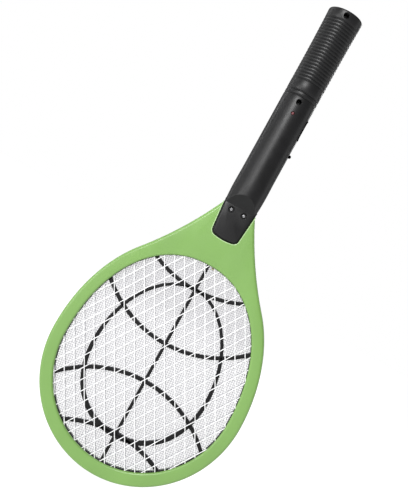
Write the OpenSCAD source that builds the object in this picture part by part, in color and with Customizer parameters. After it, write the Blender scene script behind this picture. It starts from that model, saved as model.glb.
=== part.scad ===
// Electric fly swatter with a teardrop head, three metal nets and a round battery handle.
// The handle stands along +Z, the swatting face looks along -Y and the thumb button is on +X.
// The origin is on the handle's centre line, in the middle of the hand's grip.

/* [Overall] */
// Length from the bottom of the rim to the butt of the handle
overall_length = 500; // [495:1:510]
// Distance from the handle's butt to the middle of the grip
grip_from_butt = 50; // [40:1:60]
// Width across the head
head_width = 203.4; // [200:0.2:206]
// Thickness of the head, both frame halves together
head_thickness = 12.4; // [12:0.2:13]

/* [Head outline] */
// Height of the head's widest place above its bottom
widest_height = 106; // [104:1:108]
// Height at which the shoulders turn from convex to hollow
shoulder_height = 212; // [208:1:214]
// Reach of the upper ellipse above the widest place
upper_reach = 140; // [138:1:144]
// Radius of the hollow shoulders
shoulder_radius = 360; // [350:5:370]
// Height at which the green neck meets the handle
neck_height = 289; // [286:1:290]
// Rounding of the outer front edge
outer_round = 3; // [2:0.2:3.4]
// Rounding of the opening's front edge
inner_round = 2; // [1:0.2:2.4]

/* [Opening and nets] */
// Half the width of the opening
opening_half_width = 88.6; // [87:0.2:90]
// Height of the opening's widest place
opening_height = 105; // [104:1:106]
// Reach of the opening below its widest place
opening_down = 91; // [89:1:92]
// Reach of the opening above its widest place
opening_up = 123; // [120:1:125]
// Fullness of the opening's upper end, 2 for an ellipse
opening_power = 2.15; // [2:0.05:2.3]
// Width of the ledge that the nets lie on
ledge = 3.4; // [3:0.1:4]
// Pitch of the guard net's wires
guard_pitch = 9.6; // [9:0.2:11]
// Width of a guard wire
guard_wire = 0.9; // [0.8:0.1:1.2]
// Pitch of the inner net's wires
live_pitch = 8; // [8:0.5:10]
// Width of an inner net wire
live_wire = 0.6; // [0.5:0.1:0.8]

/* [Ribs] */
// Width of the curved ribs
rib_width = 3.7; // [3:0.1:4]
// Width of the egg-shaped rib at its top, where it is narrowest
ring_width = 2.9; // [2.4:0.1:3.2]
// Width of the straight middle rib
spine_width = 3.1; // [2.4:0.1:3.4]
// Radius of the curved ribs
rib_radius = 112; // [108:1:116]

/* [Handle] */
// Outer radius of the handle
handle_radius = 17; // [16.9:0.1:17.2]
// Thickness of the handle's wall
handle_wall = 2.7; // [2.6:0.1:2.8]
// Outer radius at the butt
butt_radius = 17.8; // [17.6:0.05:18]
// Number of grip grooves
groove_count = 21; // [18:1:21]
// Pitch of the grip grooves
groove_pitch = 3.25; // [3:0.05:3.25]
// Depth of a groove
groove_depth = 0.7; // [0.4:0.1:0.7]
// Width of a groove
groove_width = 1.6; // [1:0.1:1.6]

/* [Controls] */
// Length of the thumb button along the handle
button_length = 20.7; // [18:0.1:21.5]
// Width of the thumb button across the handle's side
button_width = 12; // [10:0.5:12]
// Travel of the thumb button
button_travel = 1.6; // [1:0.1:1.6]
// Travel of the power switch
switch_travel = 3; // [2:0.5:3]
// Length of the power switch's nub along the handle
nub_length = 3.2; // [2.6:0.1:3.4]

/* [Batteries] */
// Diameter of an AA cell
cell_diameter = 14; // [13.6:0.1:14]
// Length of an AA cell with its nub
cell_length = 50.5; // [50:0.1:50.5]
// Distance between the two cells' axes
cell_spacing = 14.3; // [14.2:0.1:14.3]

/* [Hidden] */
$fn = 72;
gap = 0.3; // clearance between parts that move past each other
snug = 0.1; // clearance between parts that are fastened together
big = 60; // reach of a cutting block past what it cuts

green = [0.55, 0.77, 0.41];
black = [0.13, 0.13, 0.13];
gloss_black = [0.05, 0.05, 0.05];
silver = [0.80, 0.81, 0.83];
white_wire = [0.92, 0.92, 0.93];
brass = [0.80, 0.66, 0.32];
copper = [0.72, 0.42, 0.22];
ferrite = [0.22, 0.22, 0.24];
board_green = [0.12, 0.38, 0.20];

half_thickness = head_thickness / 2;
outer_half_width = head_width / 2;

// Stations round the rim, and the same for each quarter
quarter = 18;
stations = 4 * quarter;
ellipse_share = 0.45; // share of a quarter's stations on the upper ellipse
arc_share = 0.85; // share up to the end of the hollow shoulder

// The hollow shoulder starts where it is tangent to the upper ellipse
shoulder_angle = asin((shoulder_height - widest_height) / upper_reach);
shoulder_x = outer_half_width * cos(shoulder_angle);
shoulder_slope = outer_half_width * tan(shoulder_angle) / upper_reach;
shoulder_tilt = atan(shoulder_slope);
shoulder_centre = [
    shoulder_x + shoulder_radius * cos(shoulder_tilt),
    shoulder_height + shoulder_radius * sin(shoulder_tilt)
];
neck_tilt = asin((shoulder_centre.y - neck_height) / shoulder_radius);
neck_half_width = shoulder_centre.x - shoulder_radius * cos(neck_tilt);

// The nets and spacers, as depths from the head's middle plane
seat_depth = 3.4;
guard_depth = [2.5, 3.3];
spacer_depth = [0.35, 2.45];
live_depth = 0.3;
net_margin = 3; // how far a net reaches under the rim
live_margin = 1.2; // the inner net stays clear of the metal that joins the outer ones
channel = [5, 9, 4.2]; // hollow in the rim: near side, far side, depth

// The ribs' shapes
egg_middle = 113;
egg_half_width = 61.6;
egg_reach = [71, 88.5]; // below the middle and above it
egg_power = [2.15, 1.94]; // fullness below and above, 2 for an ellipse
egg_swell = 0.3; // how much wider its rib gets from the top to the sides
arc_ribs = [[200.8, 1], [141.8, 1], [101, -1], [44, -1]]; // middle's height, side of the centre
notch_height = [226, 236]; // the spacers leave this much free for the leads and contacts
notch_reach = [1.25, 9]; // the same, out from the middle

// Screws
shank_radius = 1.15;
pilot_radius = 1.2; // hole that a screw's thread fills
clear_radius = 1.6; // hole that a screw passes
neck_head = [2.2, 1.4]; // radius and height of a neck screw's head
handle_head = [2.4, 1.8]; // the same for the handle's screws
neck_recess = [2.95, 2]; // radius and depth of the recess round a neck screw
board_pilot_radius = 0.9;

// The tongue that laps the green neck, front and rear
tongue_bottom = 256;
tongue_top = 292;
tongue_half = [13.4, 16.2];
tongue_corner = 5.2;
tongue_bow = 0.8;
tongue_depth = [3.4, 6.8];
tongue_gap = 0.6;
neck_screw_x = 6.7;
neck_screw_height = 284.8;
tab_half_width = 11.5;
tab_half_thickness = 4;
tab_top = 303;
lead_slot = [3, 1.4]; // half width and half depth of the wire channel in the neck

// Handle
handle_bottom = 289.3;
facet_top = 302;
cavity_radius = handle_radius - handle_wall;
cavity_bottom = 303.3;
cavity_top = overall_length - 2.5; // a wall closes the butt
flare_start = 440;
swell_height = 310;
swell = 0.25;
first_groove = 424.4;
collar_grooves = [408.4, 412.9];
mid_screw_height = 402.6;
end_screw_height = 494.8;
screw_hole_radius = 2.6;
screw_seat = 9; // depth of the screw heads' seats from the middle plane
boss_radius = 4.25;
post_radius = 3.5;
ledge_wall = 1.6;

// Battery bay
cover_bottom = 416;
cover_inner = 14.8;
ledge_radius = 14.5;
bay_bottom = 422.7;
plate = 0.6;
spring_height = 5.4;
bay_top = bay_bottom + 2 * plate + cell_length + spring_height + 0.1;
dovetail = [[12, 1.42], [19, 8.05]]; // a cover edge, from the inside outwards
bulkhead = 2.5; // thickness of the walls at the ends of the bay and the handle
tail_place = 9; // how far a contact's solder tail is from the middle

// Controls
button_height = 383;
button_gap = 0.8; // clearance at the two ends of the thumb button
button_rise = 0.9; // how far its ends stand out of the handle
button_flange = [11.6, 13];
flange_half_width = 3.6;
switch_body = [[3.6, 9.6], [-2.6, 3.4]];
plunger_radius = 1.5;
scoop_radius = 45; // hollow of the thumb button's face, along the handle
scoop_depth = 1.2;
nub_height = 355.8;
nub_tip = handle_radius + 2.2;
nub_half_width = 1.5;
led_height = 390.7;
led_radius = 1.5;

// Circuit board, with its parts on the side that faces the front
board = [[-11, 11], [4, 5.4], [312, 397.5]];
board_screws = [[-8.5, 316.5], [-5.5, 393.5]];
board_notch = button_flange[0] - button_travel - 0.5; // room for the pressed button

// ---- Helpers ----

// Heights in this file are from the bottom of the rim. This puts the origin in the grip.
module from_rim() {
    translate([0, 0, grip_from_butt - overall_length]) children();
}

// A slab of an outline drawn in X and height, between two depths along Y
module slab(near, far) {
    rotate([90, 0, 0])
        translate([0, 0, -far])
            linear_extrude(far - near) children();
}

// A rod along Y between two depths, at a place in X and height
module rod_y(x, height, radius, near, far) {
    translate([x, near, height])
        rotate([-90, 0, 0])
            cylinder(h = far - near, r = radius);
}

// A rod along X between two places, at a depth and height
module rod_x(near, far, y, height, radius) {
    translate([near, y, height])
        rotate([0, 90, 0])
            cylinder(h = far - near, r = radius);
}

// A box given as its ranges along X, Y and Z
module span(x, y, z) {
    translate([x[0], y[0], z[0]]) cube([x[1] - x[0], y[1] - y[0], z[1] - z[0]]);
}

// The half of space in front of the middle plane, or behind it with side = 1
module half_space(side) {
    span([-big, big], side < 0 ? [-big, 0] : [0, big], [200, 600]);
}

function unit(v) = v / norm(v);

// A range about a middle value
function about(middle, half) = [middle - half, middle + half];
function wrap(i) = (i + stations) % stations;

// ---- Outlines of the head ----

// One side of the outline above the widest place, u from 0 there to 1 at the top middle
function outer_upper(u) =
    u < ellipse_share
        ? let (a = shoulder_angle * u / ellipse_share)
            [outer_half_width * cos(a), widest_height + upper_reach * sin(a)]
    : u < arc_share
        ? let (s = (u - ellipse_share) / (arc_share - ellipse_share),
            a = shoulder_tilt + (neck_tilt - shoulder_tilt) * s)
            shoulder_centre - shoulder_radius * [cos(a), sin(a)]
    : [neck_half_width * (1 - u) / (1 - arc_share), neck_height];

function opening_upper(u) =
    [
        opening_half_width * pow(cos(90 * u), 2 / opening_power),
        opening_height + opening_up * pow(sin(90 * u), 2 / opening_power)
    ];

function mirror_x(p) = [-p.x, p.y];

// A closed outline as a function of the station: the upper right, the upper left, the lower half
function outer_at(i) =
    i <= quarter ? outer_upper(i / quarter)
    : i <= 2 * quarter ? mirror_x(outer_upper(2 - i / quarter))
    : let (a = 90 * i / quarter)
        [outer_half_width * cos(a), widest_height * (1 + sin(a))];

function opening_at(i) =
    i <= quarter ? opening_upper(i / quarter)
    : i <= 2 * quarter ? mirror_x(opening_upper(2 - i / quarter))
    : let (a = 90 * i / quarter)
        [opening_half_width * cos(a), opening_height + opening_down * sin(a)];

function outward(before, after) = unit([after.y - before.y, before.x - after.x]);

// Outlines moved out by a distance, or in by a negative one
function outer_moved(i, d) =
    outer_at(i) + d * outward(outer_at(wrap(i - 1)), outer_at(wrap(i + 1)));
function opening_moved(i, d) =
    opening_at(i) + d * outward(opening_at(wrap(i - 1)), opening_at(wrap(i + 1)));

module opening_outline(d) {
    polygon([for (i = [0 : stations - 1]) opening_moved(i, d)]);
}

// ---- Frame halves ----

round_steps = [0, 30, 60, 90];

// The rim's cross-section: 0 for the outer outline or 1 for the opening, distance, depth
rim_section = concat(
    [[0, 0, 0]],
    [for (a = round_steps)
        [0, -outer_round * (1 - cos(a)), half_thickness - outer_round * (1 - sin(a))]],
    [for (a = round_steps)
        [1, inner_round * (1 - sin(a)), half_thickness - inner_round * (1 - cos(a))]],
    [
        [1, 0, seat_depth], [1, ledge, seat_depth], [1, ledge, 0],
        [1, channel[0], 0], [1, channel[0], channel[2]],
        [1, channel[1], channel[2]], [1, channel[1], 0]
    ]
);

function rim_point(i, s) =
    let (p = s[0] == 0 ? outer_moved(i, s[1]) : opening_moved(i, s[1]))
    [p.x, -s[2], p.y];

// Two triangles for each patch between neighbouring stations and section points
function loop_faces(rings, sides, closed) =
    [for (i = [0 : rings - (closed ? 1 : 2)], k = [0 : sides - 1])
        let (
            a = i * sides + k,
            b = i * sides + (k + 1) % sides,
            c = ((i + 1) % rings) * sides + (k + 1) % sides,
            d = ((i + 1) % rings) * sides + k
        )
        each [[a, b, c], [a, c, d]]
    ];

module rim_half() {
    polyhedron(
        points = [for (i = [0 : stations - 1], s = rim_section) rim_point(i, s)],
        faces = loop_faces(stations, len(rim_section), true)
    );
}

// The tongue's outline, larger all round by grow
module tongue_outline(grow) {
    low = tongue_bottom - grow;
    high = tongue_top + grow;
    side = tongue_half[0] + grow;
    corner = tongue_corner + grow;
    polygon(concat(
        [[tongue_half[1] + grow, high]],
        [for (a = [0 : -15 : -90])
            [side - corner + corner * cos(a), low + corner + tongue_bow + corner * sin(a)]],
        [[0, low]],
        [for (a = [270 : -15 : 180])
            [corner - side + corner * cos(a), low + corner + tongue_bow + corner * sin(a)]],
        [[-tongue_half[1] - grow, high]]
    ));
}

module at_neck_screws() {
    for (x = [-neck_screw_x, neck_screw_x]) translate([x, 0, neck_screw_height]) children();
}

module frame_half() {
    difference() {
        union() {
            rim_half();
            span(
                [-tab_half_width, tab_half_width],
                [-tab_half_thickness, 0],
                [neck_height - 2, tab_top]
            );
        }
        slab(-big, -tongue_depth[0] + snug) tongue_outline(tongue_gap);
        at_neck_screws() rod_y(0, 0, clear_radius, -big, big);
        span(
            [-lead_slot[0], lead_slot[0]],
            [-lead_slot[1], big],
            [opening_height + opening_up + 1, big + neck_height]
        );
    }
}

module head_frame_front() {
    color(green) from_rim() frame_half();
}

module head_frame_rear() {
    color(green) from_rim() mirror([0, 1, 0]) frame_half();
}

// ---- Nets and spacer ribs ----

// Parallel bars across the head, leaning by an angle from the long axis
module bars(lean, pitch, width) {
    middle = opening_height + (opening_up - opening_down) / 2;
    reach = (opening_up + opening_down) / 2 + 2 * net_margin;
    rows = floor(reach / pitch);
    for (k = [-rows : rows]) {
        long = 2 * sqrt(reach * reach - pow(k * pitch, 2)) + 2 * pitch;
        translate([0, middle])
            rotate(lean)
                translate([k * pitch - width / 2, -long / 2])
                    square([width, long]);
    }
}

module net(lean_left, lean_right, pitch, width, margin) {
    intersection() {
        opening_outline(margin);
        union() {
            bars(lean_left, pitch, width);
            bars(-lean_right, pitch, width);
        }
    }
}

module guard_net() {
    net(29, 33, guard_pitch, guard_wire, net_margin);
}

module front_guard_net() {
    color(white_wire) from_rim() slab(-guard_depth[1], -guard_depth[0]) guard_net();
}

module rear_guard_net() {
    color(white_wire) from_rim() slab(guard_depth[0], guard_depth[1]) guard_net();
}

module live_net() {
    color(silver) from_rim()
        slab(-live_depth, live_depth) net(45, 45, live_pitch, live_wire, live_margin);
}

// An arc-shaped rib whose middle is at a height: side 1 has its centre above, -1 below
module arc_rib(height, side) {
    translate([0, height + side * rib_radius])
        difference() {
            circle(r = rib_radius + rib_width / 2);
            circle(r = rib_radius - rib_width / 2);
        }
}

// The egg-shaped rib's outline, moved out by d
function egg(a, d) =
    let (
        half = a < 180 ? 1 : 0,
        power = 2 / egg_power[half],
        move = d * (1 + egg_swell * (1 - sin(a)))
    )
    [
        (egg_half_width + move) * sign(cos(a)) * pow(abs(cos(a)), power),
        egg_middle + (egg_reach[half] + move) * sign(sin(a)) * pow(abs(sin(a)), power)
    ];

module egg_rib() {
    difference() {
        polygon([for (a = [0 : 5 : 355]) egg(a, ring_width / 2)]);
        polygon([for (a = [0 : 5 : 355]) egg(a, -ring_width / 2)]);
    }
}

module spacer_outline() {
    difference() {
        union() {
            difference() {
                opening_outline(net_margin);
                opening_outline(-0.3);
            }
            intersection() {
                opening_outline(net_margin - 1);
                union() {
                    translate([-spine_width / 2, 0]) square([spine_width, neck_height]);
                    egg_rib();
                    for (rib = arc_ribs) arc_rib(rib[0], rib[1]);
                }
            }
        }
        for (side = [0, 1])
            mirror([side, 0])
                translate([notch_reach[0], notch_height[0]])
                    square([notch_reach[1] - notch_reach[0], notch_height[1] - notch_height[0]]);
    }
}

module front_spacer_ribs() {
    color(black) from_rim() slab(-spacer_depth[1], -spacer_depth[0]) spacer_outline();
}

module rear_spacer_ribs() {
    color(black) from_rim() slab(spacer_depth[0], spacer_depth[1]) spacer_outline();
}

// A bent strip that presses on both guard nets and joins them
module ground_contact_strip() {
    high = opening_height + opening_up + ledge - 0.5;
    low = opening_height + opening_up + 1.4;
    color(brass) from_rim() {
        span([-7.5, -4.5], [-2.4, -2], [low, high]);
        span([-7.5, -4.5], [2, 2.4], [low, high]);
        span([-7.5, -4.5], [-2.2, 2.2], [high - 0.5, high]);
    }
}

// A pad that presses on the inner net from behind
module live_contact_strip() {
    high = opening_height + opening_up + ledge - 0.5;
    color(brass) from_rim() {
        span([4, 7.5], [live_depth, live_depth + 0.4], [high - 5.5, high]);
        span([4, 7.5], [live_depth, 2], [high - 0.5, high]);
    }
}

// ---- Handle shells ----

function handle_r(h) =
    h < swell_height ? handle_radius + swell - 0.002 * pow(swell_height - h, 2)
    : h < swell_height + 20
        ? handle_radius + swell * (1 + cos(9 * (h - swell_height))) / 2
    : h < flare_start ? handle_radius
    : handle_radius + (butt_radius - handle_radius)
        * pow((h - flare_start) / (overall_length - flare_start), 2);

groove_heights = concat(
    collar_grooves,
    [for (k = [0 : groove_count - 1]) first_groove + k * groove_pitch]
);

// The handle's outer profile, as radius and height, from its lower end to the butt
handle_profile = concat(
    [for (h = [handle_bottom, each [294 : 4 : 334]]) [handle_r(h), h]],
    [for (g = groove_heights, side = [-1, 1], step = side < 0 ? [0, 1] : [1, 0])
        let (h = g + side * (groove_width / 2 - 0.25 * step))
        [handle_r(h) - groove_depth * step, h]],
    [
        [butt_radius, overall_length - 1.7],
        [butt_radius - 0.5, overall_length - 0.5],
        [butt_radius - 1.6, overall_length]
    ]
);

module handle_body() {
    rotate_extrude() polygon(concat([[0, handle_bottom]], handle_profile, [[0, overall_length]]));
}

// Slopes that take the round handle down to the flat tongues, front and rear
module facet_cuts() {
    for (side = [0, 1])
        mirror([0, side, 0])
            translate([-big, 0, 0])
                rotate([90, 0, 90])
                    linear_extrude(2 * big)
                        polygon([
                            [-tongue_depth[1], handle_bottom - 1],
                            [-tongue_depth[1], handle_bottom],
                            [-handle_radius - 1, facet_top + 1],
                            [-big, facet_top + 1],
                            [-big, handle_bottom - 1]
                        ]);
}

module tongue() {
    slab(-tongue_depth[1], -tongue_depth[0]) tongue_outline(0);
}

// What both shells share: the body, hollowed, with room for the neck's tab and the side controls
module hollow_handle() {
    difference() {
        handle_body();
        facet_cuts();
        translate([0, 0, cavity_bottom])
            cylinder(h = cavity_top - cavity_bottom, r = cavity_radius);
        span(
            [-tab_half_width - snug, tab_half_width + snug],
            [-tab_half_thickness - snug, tab_half_thickness + snug],
            [handle_bottom - 1, cavity_bottom + 1]
        );
        span(
            [0, big],
            [-button_width / 2 - gap, button_width / 2 + gap],
            about(button_height, button_length / 2 + button_gap)
        );
        span(
            [0, big],
            about(0, nub_half_width + gap),
            [nub_height - nub_length / 2 - gap, nub_height + nub_length / 2 + switch_travel + gap]
        );
    }
}

// The region outside the cover's two slanting edges, moved apart by clear
module cover_sector(clear, low) {
    edge = dovetail;
    away = clear * [1, -1];
    right = [edge[0] + away, edge[1] + away];
    translate([0, 0, low])
        linear_extrude(big + overall_length - low)
            polygon([
                right[0], right[1], [right[1].x, big], [-right[1].x, big],
                mirror_x(right[1]), mirror_x(right[0])
            ]);
}

module wall_disc(radius, low, high) {
    translate([0, 0, low]) cylinder(h = high - low, r = radius);
}

module front_boss(height) {
    rod_y(0, height, boss_radius, -cavity_radius - 0.5, -0.1);
}

module front_screw_hole(height) {
    rod_y(0, height, screw_hole_radius, -big, -screw_seat);
    rod_y(0, height, clear_radius, -big, big);
}

// Openings through the lower wall of the bay for the contacts' solder tails
module tail_holes(depth) {
    for (side = [-1, 1])
        span(
            about(side * tail_place, 1.5),
            depth,
            [bay_bottom - bulkhead - 0.5, bay_bottom + 1]
        );
}

module handle_front_shell() {
    color(black) from_rim()
        difference() {
            union() {
                intersection() {
                    union() {
                        hollow_handle();
                        wall_disc(cavity_radius + 0.5, bay_bottom - bulkhead, bay_bottom);
                        wall_disc(cavity_radius + 0.5, bay_top, bay_top + bulkhead);
                    }
                    half_space(-1);
                }
                intersection() {
                    union() {
                        front_boss(mid_screw_height);
                        front_boss(end_screw_height);
                    }
                    handle_body();
                }
                span(
                    [-0.6, 0.6],
                    [-cavity_radius - 0.5, -4.5],
                    [bay_bottom - 0.5, bay_top - plate - snug]
                );
                tongue();
            }
            front_screw_hole(mid_screw_height);
            front_screw_hole(end_screw_height);
            rod_y(0, led_height, led_radius + snug, -big, -8);
            at_neck_screws() {
                rod_y(0, 0, neck_recess[0], -big, neck_recess[1] - tongue_depth[1]);
                rod_y(0, 0, clear_radius, -big, big);
            }
            tail_holes([-4, 1]);
        }
}

module rear_post(height, far) {
    rod_y(0, height, post_radius, snug, far);
}

module handle_rear_shell() {
    color(black) from_rim()
        difference() {
            union() {
                difference() {
                    intersection() {
                        hollow_handle();
                        half_space(1);
                    }
                    cover_sector(0, cover_bottom);
                }
                intersection() {
                    union() {
                        difference() {
                            wall_disc(ledge_radius, cover_bottom - 5, overall_length);
                            wall_disc(
                                ledge_radius - ledge_wall,
                                cover_bottom - 6,
                                overall_length + 1
                            );
                            span([-big, big], [-big, big], [bay_bottom, bay_top]);
                        }
                        wall_disc(ledge_radius, bay_bottom - bulkhead, bay_bottom);
                        wall_disc(ledge_radius, bay_top, bay_top + bulkhead);
                        wall_disc(ledge_radius, cavity_top, overall_length);
                    }
                    half_space(1);
                }
                rear_post(mid_screw_height, cavity_radius + 0.2);
                rear_post(end_screw_height, ledge_radius - 1);
                for (p = board_screws) rod_y(p[0], p[1], 2.4, board[1][1], cavity_radius - 2.2);
                mirror([0, 1, 0]) tongue();
            }
            span([-cavity_radius, cavity_radius], [0.2, big], [bay_bottom, bay_top]);
            for (h = [mid_screw_height, end_screw_height])
                rod_y(0, h, pilot_radius, -1, 11);
            for (p = board_screws) rod_y(p[0], p[1], board_pilot_radius, 0, 10);
            at_neck_screws() rod_y(0, 0, pilot_radius, 0, tongue_depth[1] - 1);
            tail_holes([-1, 2]);
        }
}

module battery_cover() {
    color(black) from_rim()
        difference() {
            intersection() {
                handle_body();
                cover_sector(-gap, cover_bottom + gap);
            }
            wall_disc(cover_inner, cover_bottom - 1, overall_length + 1);
            span([-4.5, 4.5], [handle_radius - 0.5, big], [420.2, 421.4]);
            span([-6, 6], [handle_radius - 0.5, big], [417.6, 418.8]);
        }
}

// ---- Thumb button and its switch ----

module thumb_button() {
    face = handle_radius + button_rise;
    ends = about(button_height, button_length / 2);
    color(gloss_black) from_rim()
        difference() {
            union() {
                intersection() {
                    wall_disc(face, ends[0], ends[1]);
                    span([button_flange[0], big], about(0, button_width / 2), ends);
                }
                span(button_flange, about(0, flange_half_width), ends + [-2, 2]);
            }
            translate([face - scoop_depth + scoop_radius, big, button_height])
                rotate([90, 0, 0])
                    cylinder(h = 2 * big, r = scoop_radius, $fn = 180);
            rod_x(0, button_flange[0] + 0.4, 0, button_height, plunger_radius + gap);
        }
}

module push_switch_body() {
    color(gloss_black) from_rim() {
        difference() {
            span(switch_body[0], switch_body[1], about(button_height, 4.2));
            rod_x(switch_body[0][1] - 5.4, big, 0, button_height, plunger_radius + 0.06);
        }
        for (x = [5, 8.2], h = about(button_height, 2.5))
            rod_y(x, h, 0.4, switch_body[1][1] - 0.2, board[1][0]);
    }
}

module push_switch_plunger() {
    color(white_wire) from_rim()
        rod_x(switch_body[0][1] - 3.4, button_flange[0] + 0.35, 0, button_height, plunger_radius);
}

// ---- Power switch ----

power_body = [[8.2, 12.9], [-2.4, 2.4]];
power_middle = nub_height + switch_travel / 2;

module power_switch_body() {
    color(silver) from_rim() {
        difference() {
            span(power_body[0], power_body[1], about(power_middle, 5));
            span(
                [11.4, big],
                about(0, nub_half_width + gap),
                about(power_middle, (nub_length + switch_travel) / 2 + gap)
            );
        }
        for (step = [-2.5, 0, 2.5])
            rod_y(9.6, power_middle + step, 0.4, power_body[1][1] - 0.2, board[1][0]);
    }
}

module power_switch_knob() {
    color(black) from_rim() {
        dome = nub_tip - nub_length / 2;
        span([11.7, dome], about(0, nub_half_width), about(nub_height, nub_length / 2));
        translate([dome, nub_half_width, nub_height])
            rotate([90, 0, 0])
                cylinder(h = 2 * nub_half_width, r = nub_length / 2);
    }
}

// ---- Indicator ----

module indicator_led() {
    dome = handle_radius - 1.2;
    color("red") from_rim() {
        rod_y(0, led_height, 1.95, -cavity_radius + 0.3, -cavity_radius + 1.1);
        rod_y(0, led_height, led_radius, -dome, -cavity_radius + 1.1);
        translate([0, -dome, led_height]) sphere(r = led_radius);
    }
}

module led_leads() {
    color(silver) from_rim()
        for (x = [-1.27, 1.27]) rod_y(x, led_height, 0.25, -cavity_radius + 1.1, board[1][0]);
}

// ---- Circuit board and what is soldered on it ----

module circuit_board() {
    color(board_green) from_rim()
        difference() {
            span(board[0], board[1], board[2]);
            span([board_notch, big], [0, 10], about(button_height, button_length / 2 + 1));
            for (p = board_screws) rod_y(p[0], p[1], board_pilot_radius + 0.2, 0, 10);
        }
}

module board_screws() {
    color(silver) from_rim()
        for (p = board_screws) {
            rod_y(p[0], p[1], 1.9, board[1][0] - 1.3, board[1][0]);
            rod_y(p[0], p[1], 0.85, board[1][0] - 0.5, 9.8);
        }
}

core_x = [-8.5, 4.5];
core_y = [-8.5, 2.5];
core_z = [350, 363];

module transformer_core() {
    leg = 2.6;
    middle = (core_x[0] + core_x[1]) / 2;
    color(ferrite) from_rim()
        difference() {
            span(core_x, core_y + [2.2, -2.2], core_z);
            span([core_x[0] + leg, middle - leg / 2], [-big, big], core_z + leg * [1, -1]);
            span([middle + leg / 2, core_x[1] - leg], [-big, big], core_z + leg * [1, -1]);
        }
}

module transformer_bobbin() {
    middle = (core_x[0] + core_x[1]) / 2;
    color("ivory") from_rim()
        difference() {
            union() {
                for (h = [core_z[0] + 2.7, core_z[1] - 3.5])
                    span(core_x + [2.7, -2.7], core_y, [h, h + 0.8]);
                span(about(middle, 2.1), [-6.2, 0.2], core_z + [3, -3]);
                for (x = about(middle, 3))
                    rod_y(x, core_z[0] + 3.1, 0.35, core_y[1] - 0.2, board[1][0]);
            }
            span(about(middle, 1.4), core_y + [2.1, -2.1], core_z + [-1, 1]);
        }
}

module transformer_winding() {
    middle = (core_x[0] + core_x[1]) / 2;
    low = core_z[0] + 3.6;
    high = core_z[1] - 3.6;
    color(copper) from_rim()
        difference() {
            span(about(middle, 3.7), [-8.2, 2.2], [low, high]);
            span(about(middle, 2.2), [-6.3, 0.3], [low - 1, high + 1]);
        }
}

module storage_capacitor() {
    color("brown") from_rim() {
        intersection() {
            span([-6.5, 6.5], [-4.2, 3.2], [322, 341]);
            rod_y(0, 331.5, 11, -5, 5);
        }
        for (h = [325, 338]) rod_y(0, h, 0.4, 3, board[1][0]);
    }
}

module doubler_capacitors() {
    color("orange") from_rim()
        for (h = [369.5, 376.5]) {
            rod_y(-7, h, 3, -1.6, 1.6);
            for (x = [-8.8, -5.2]) rod_y(x, h, 0.3, 1.2, board[1][0]);
        }
}

module oscillator_transistor() {
    color(gloss_black) from_rim() {
        intersection() {
            rod_y(1, 370, 2.4, -3.5, 1.2);
            span([-big, big], [-big, big], [368.6, 380]);
        }
        for (x = [-0.27, 1, 2.27]) rod_y(x, 370, 0.25, 1, board[1][0]);
    }
}

// A small part with a body lying along the board and two leads bent down to it
module axial(x, height, radius, long) {
    translate([x, 1.8, height - long / 2]) cylinder(h = long, r = radius);
    translate([x, 1.8, height - long / 2 - 1.6]) cylinder(h = long + 3.2, r = 0.3);
    for (side = [-1, 1]) rod_y(x, height + side * (long / 2 + 1.6), 0.3, 1.8, board[1][0]);
}

module rectifier_diodes() {
    color(black) from_rim()
        for (x = [8.4, 5], h = [317.2, 371]) axial(x, h, 1.35, 5);
}

module board_resistors() {
    color("tan") from_rim() {
        for (x = [8.6, -8.8]) axial(x, 341, 1.15, 6.3);
        for (x = [-9.5, -2.5]) axial(x, 386, 1.15, 5.4);
    }
}

// ---- Batteries and their contacts ----

cell_radius = cell_diameter / 2;
low_plate = [bay_bottom, bay_bottom + plate];
high_plate = [bay_top - plate, bay_top];

// An AA cell standing on its flat end, with its nub on top
module cell() {
    cylinder(h = cell_length - 1.3, r = cell_radius);
    cylinder(h = cell_length, r = 2.75);
}

module battery_cell_left() {
    color("gold") from_rim()
        translate([-cell_spacing / 2, 0, low_plate[1] + cell_length + 0.02])
            mirror([0, 0, 1]) cell();
}

module battery_cell_right() {
    color("gold") from_rim()
        translate([cell_spacing / 2, 0, high_plate[0] - cell_length - 0.02])
            cell();
}

// A round wire along a path of points. No stretch may run along ref.
function ring_of(p, t, ref, r, sides) =
    let (n = unit(cross(t, ref)), b = cross(t, n))
    [for (k = [0 : sides - 1]) p + r * (cos(360 * k / sides) * n + sin(360 * k / sides) * b)];

module wire(path, r, ref, sides = 8) {
    last = len(path) - 1;
    rings = [for (i = [0 : last])
        ring_of(path[i], unit(path[min(i + 1, last)] - path[max(i - 1, 0)]), ref, r, sides)];
    polyhedron(
        points = [for (ring = rings) each ring],
        faces = concat(
            loop_faces(last + 1, sides, false),
            [[for (k = [sides - 1 : -1 : 0]) k]],
            [[for (k = [0 : sides - 1]) last * sides + k]]
        )
    );
}

// A conical coil that stands on its wide end
module coil() {
    turns = 3.5;
    steps = 42;
    wire(
        [for (i = [0 : steps])
            let (u = i / steps, a = 360 * turns * u, r = 5.2 - 2.2 * u)
            [r * cos(a), r * sin(a), 0.4 + u * (spring_height - 0.8)]],
        0.35,
        [0, 0, 1],
        6
    );
}

module battery_springs() {
    color(silver) from_rim() {
        translate([cell_spacing / 2, 0, low_plate[1]]) coil();
        translate([-cell_spacing / 2, 0, high_plate[0]]) mirror([0, 0, 1]) coil();
    }
}

module contact_plate(x, height) {
    intersection() {
        span(x, [-6, 6], height);
        wall_disc(cavity_radius - snug, height[0], height[1]);
    }
}

module bridge_contact() {
    color(silver) from_rim() contact_plate([-13.5, 13.5], high_plate);
}

// A battery contact with a solder tail through the bulkhead
module tail_contact(x, tail_x) {
    contact_plate(x, low_plate);
    span(about(tail_x, 1.2), [-1, -0.6], [bay_bottom - 5, bay_bottom + plate]);
}

module negative_contact() {
    color(silver) from_rim() tail_contact([0.8, 13.5], tail_place);
}

module positive_contact() {
    color(silver) from_rim() tail_contact([-13.5, -0.8], -tail_place);
}

// ---- Insulated leads ----

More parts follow.
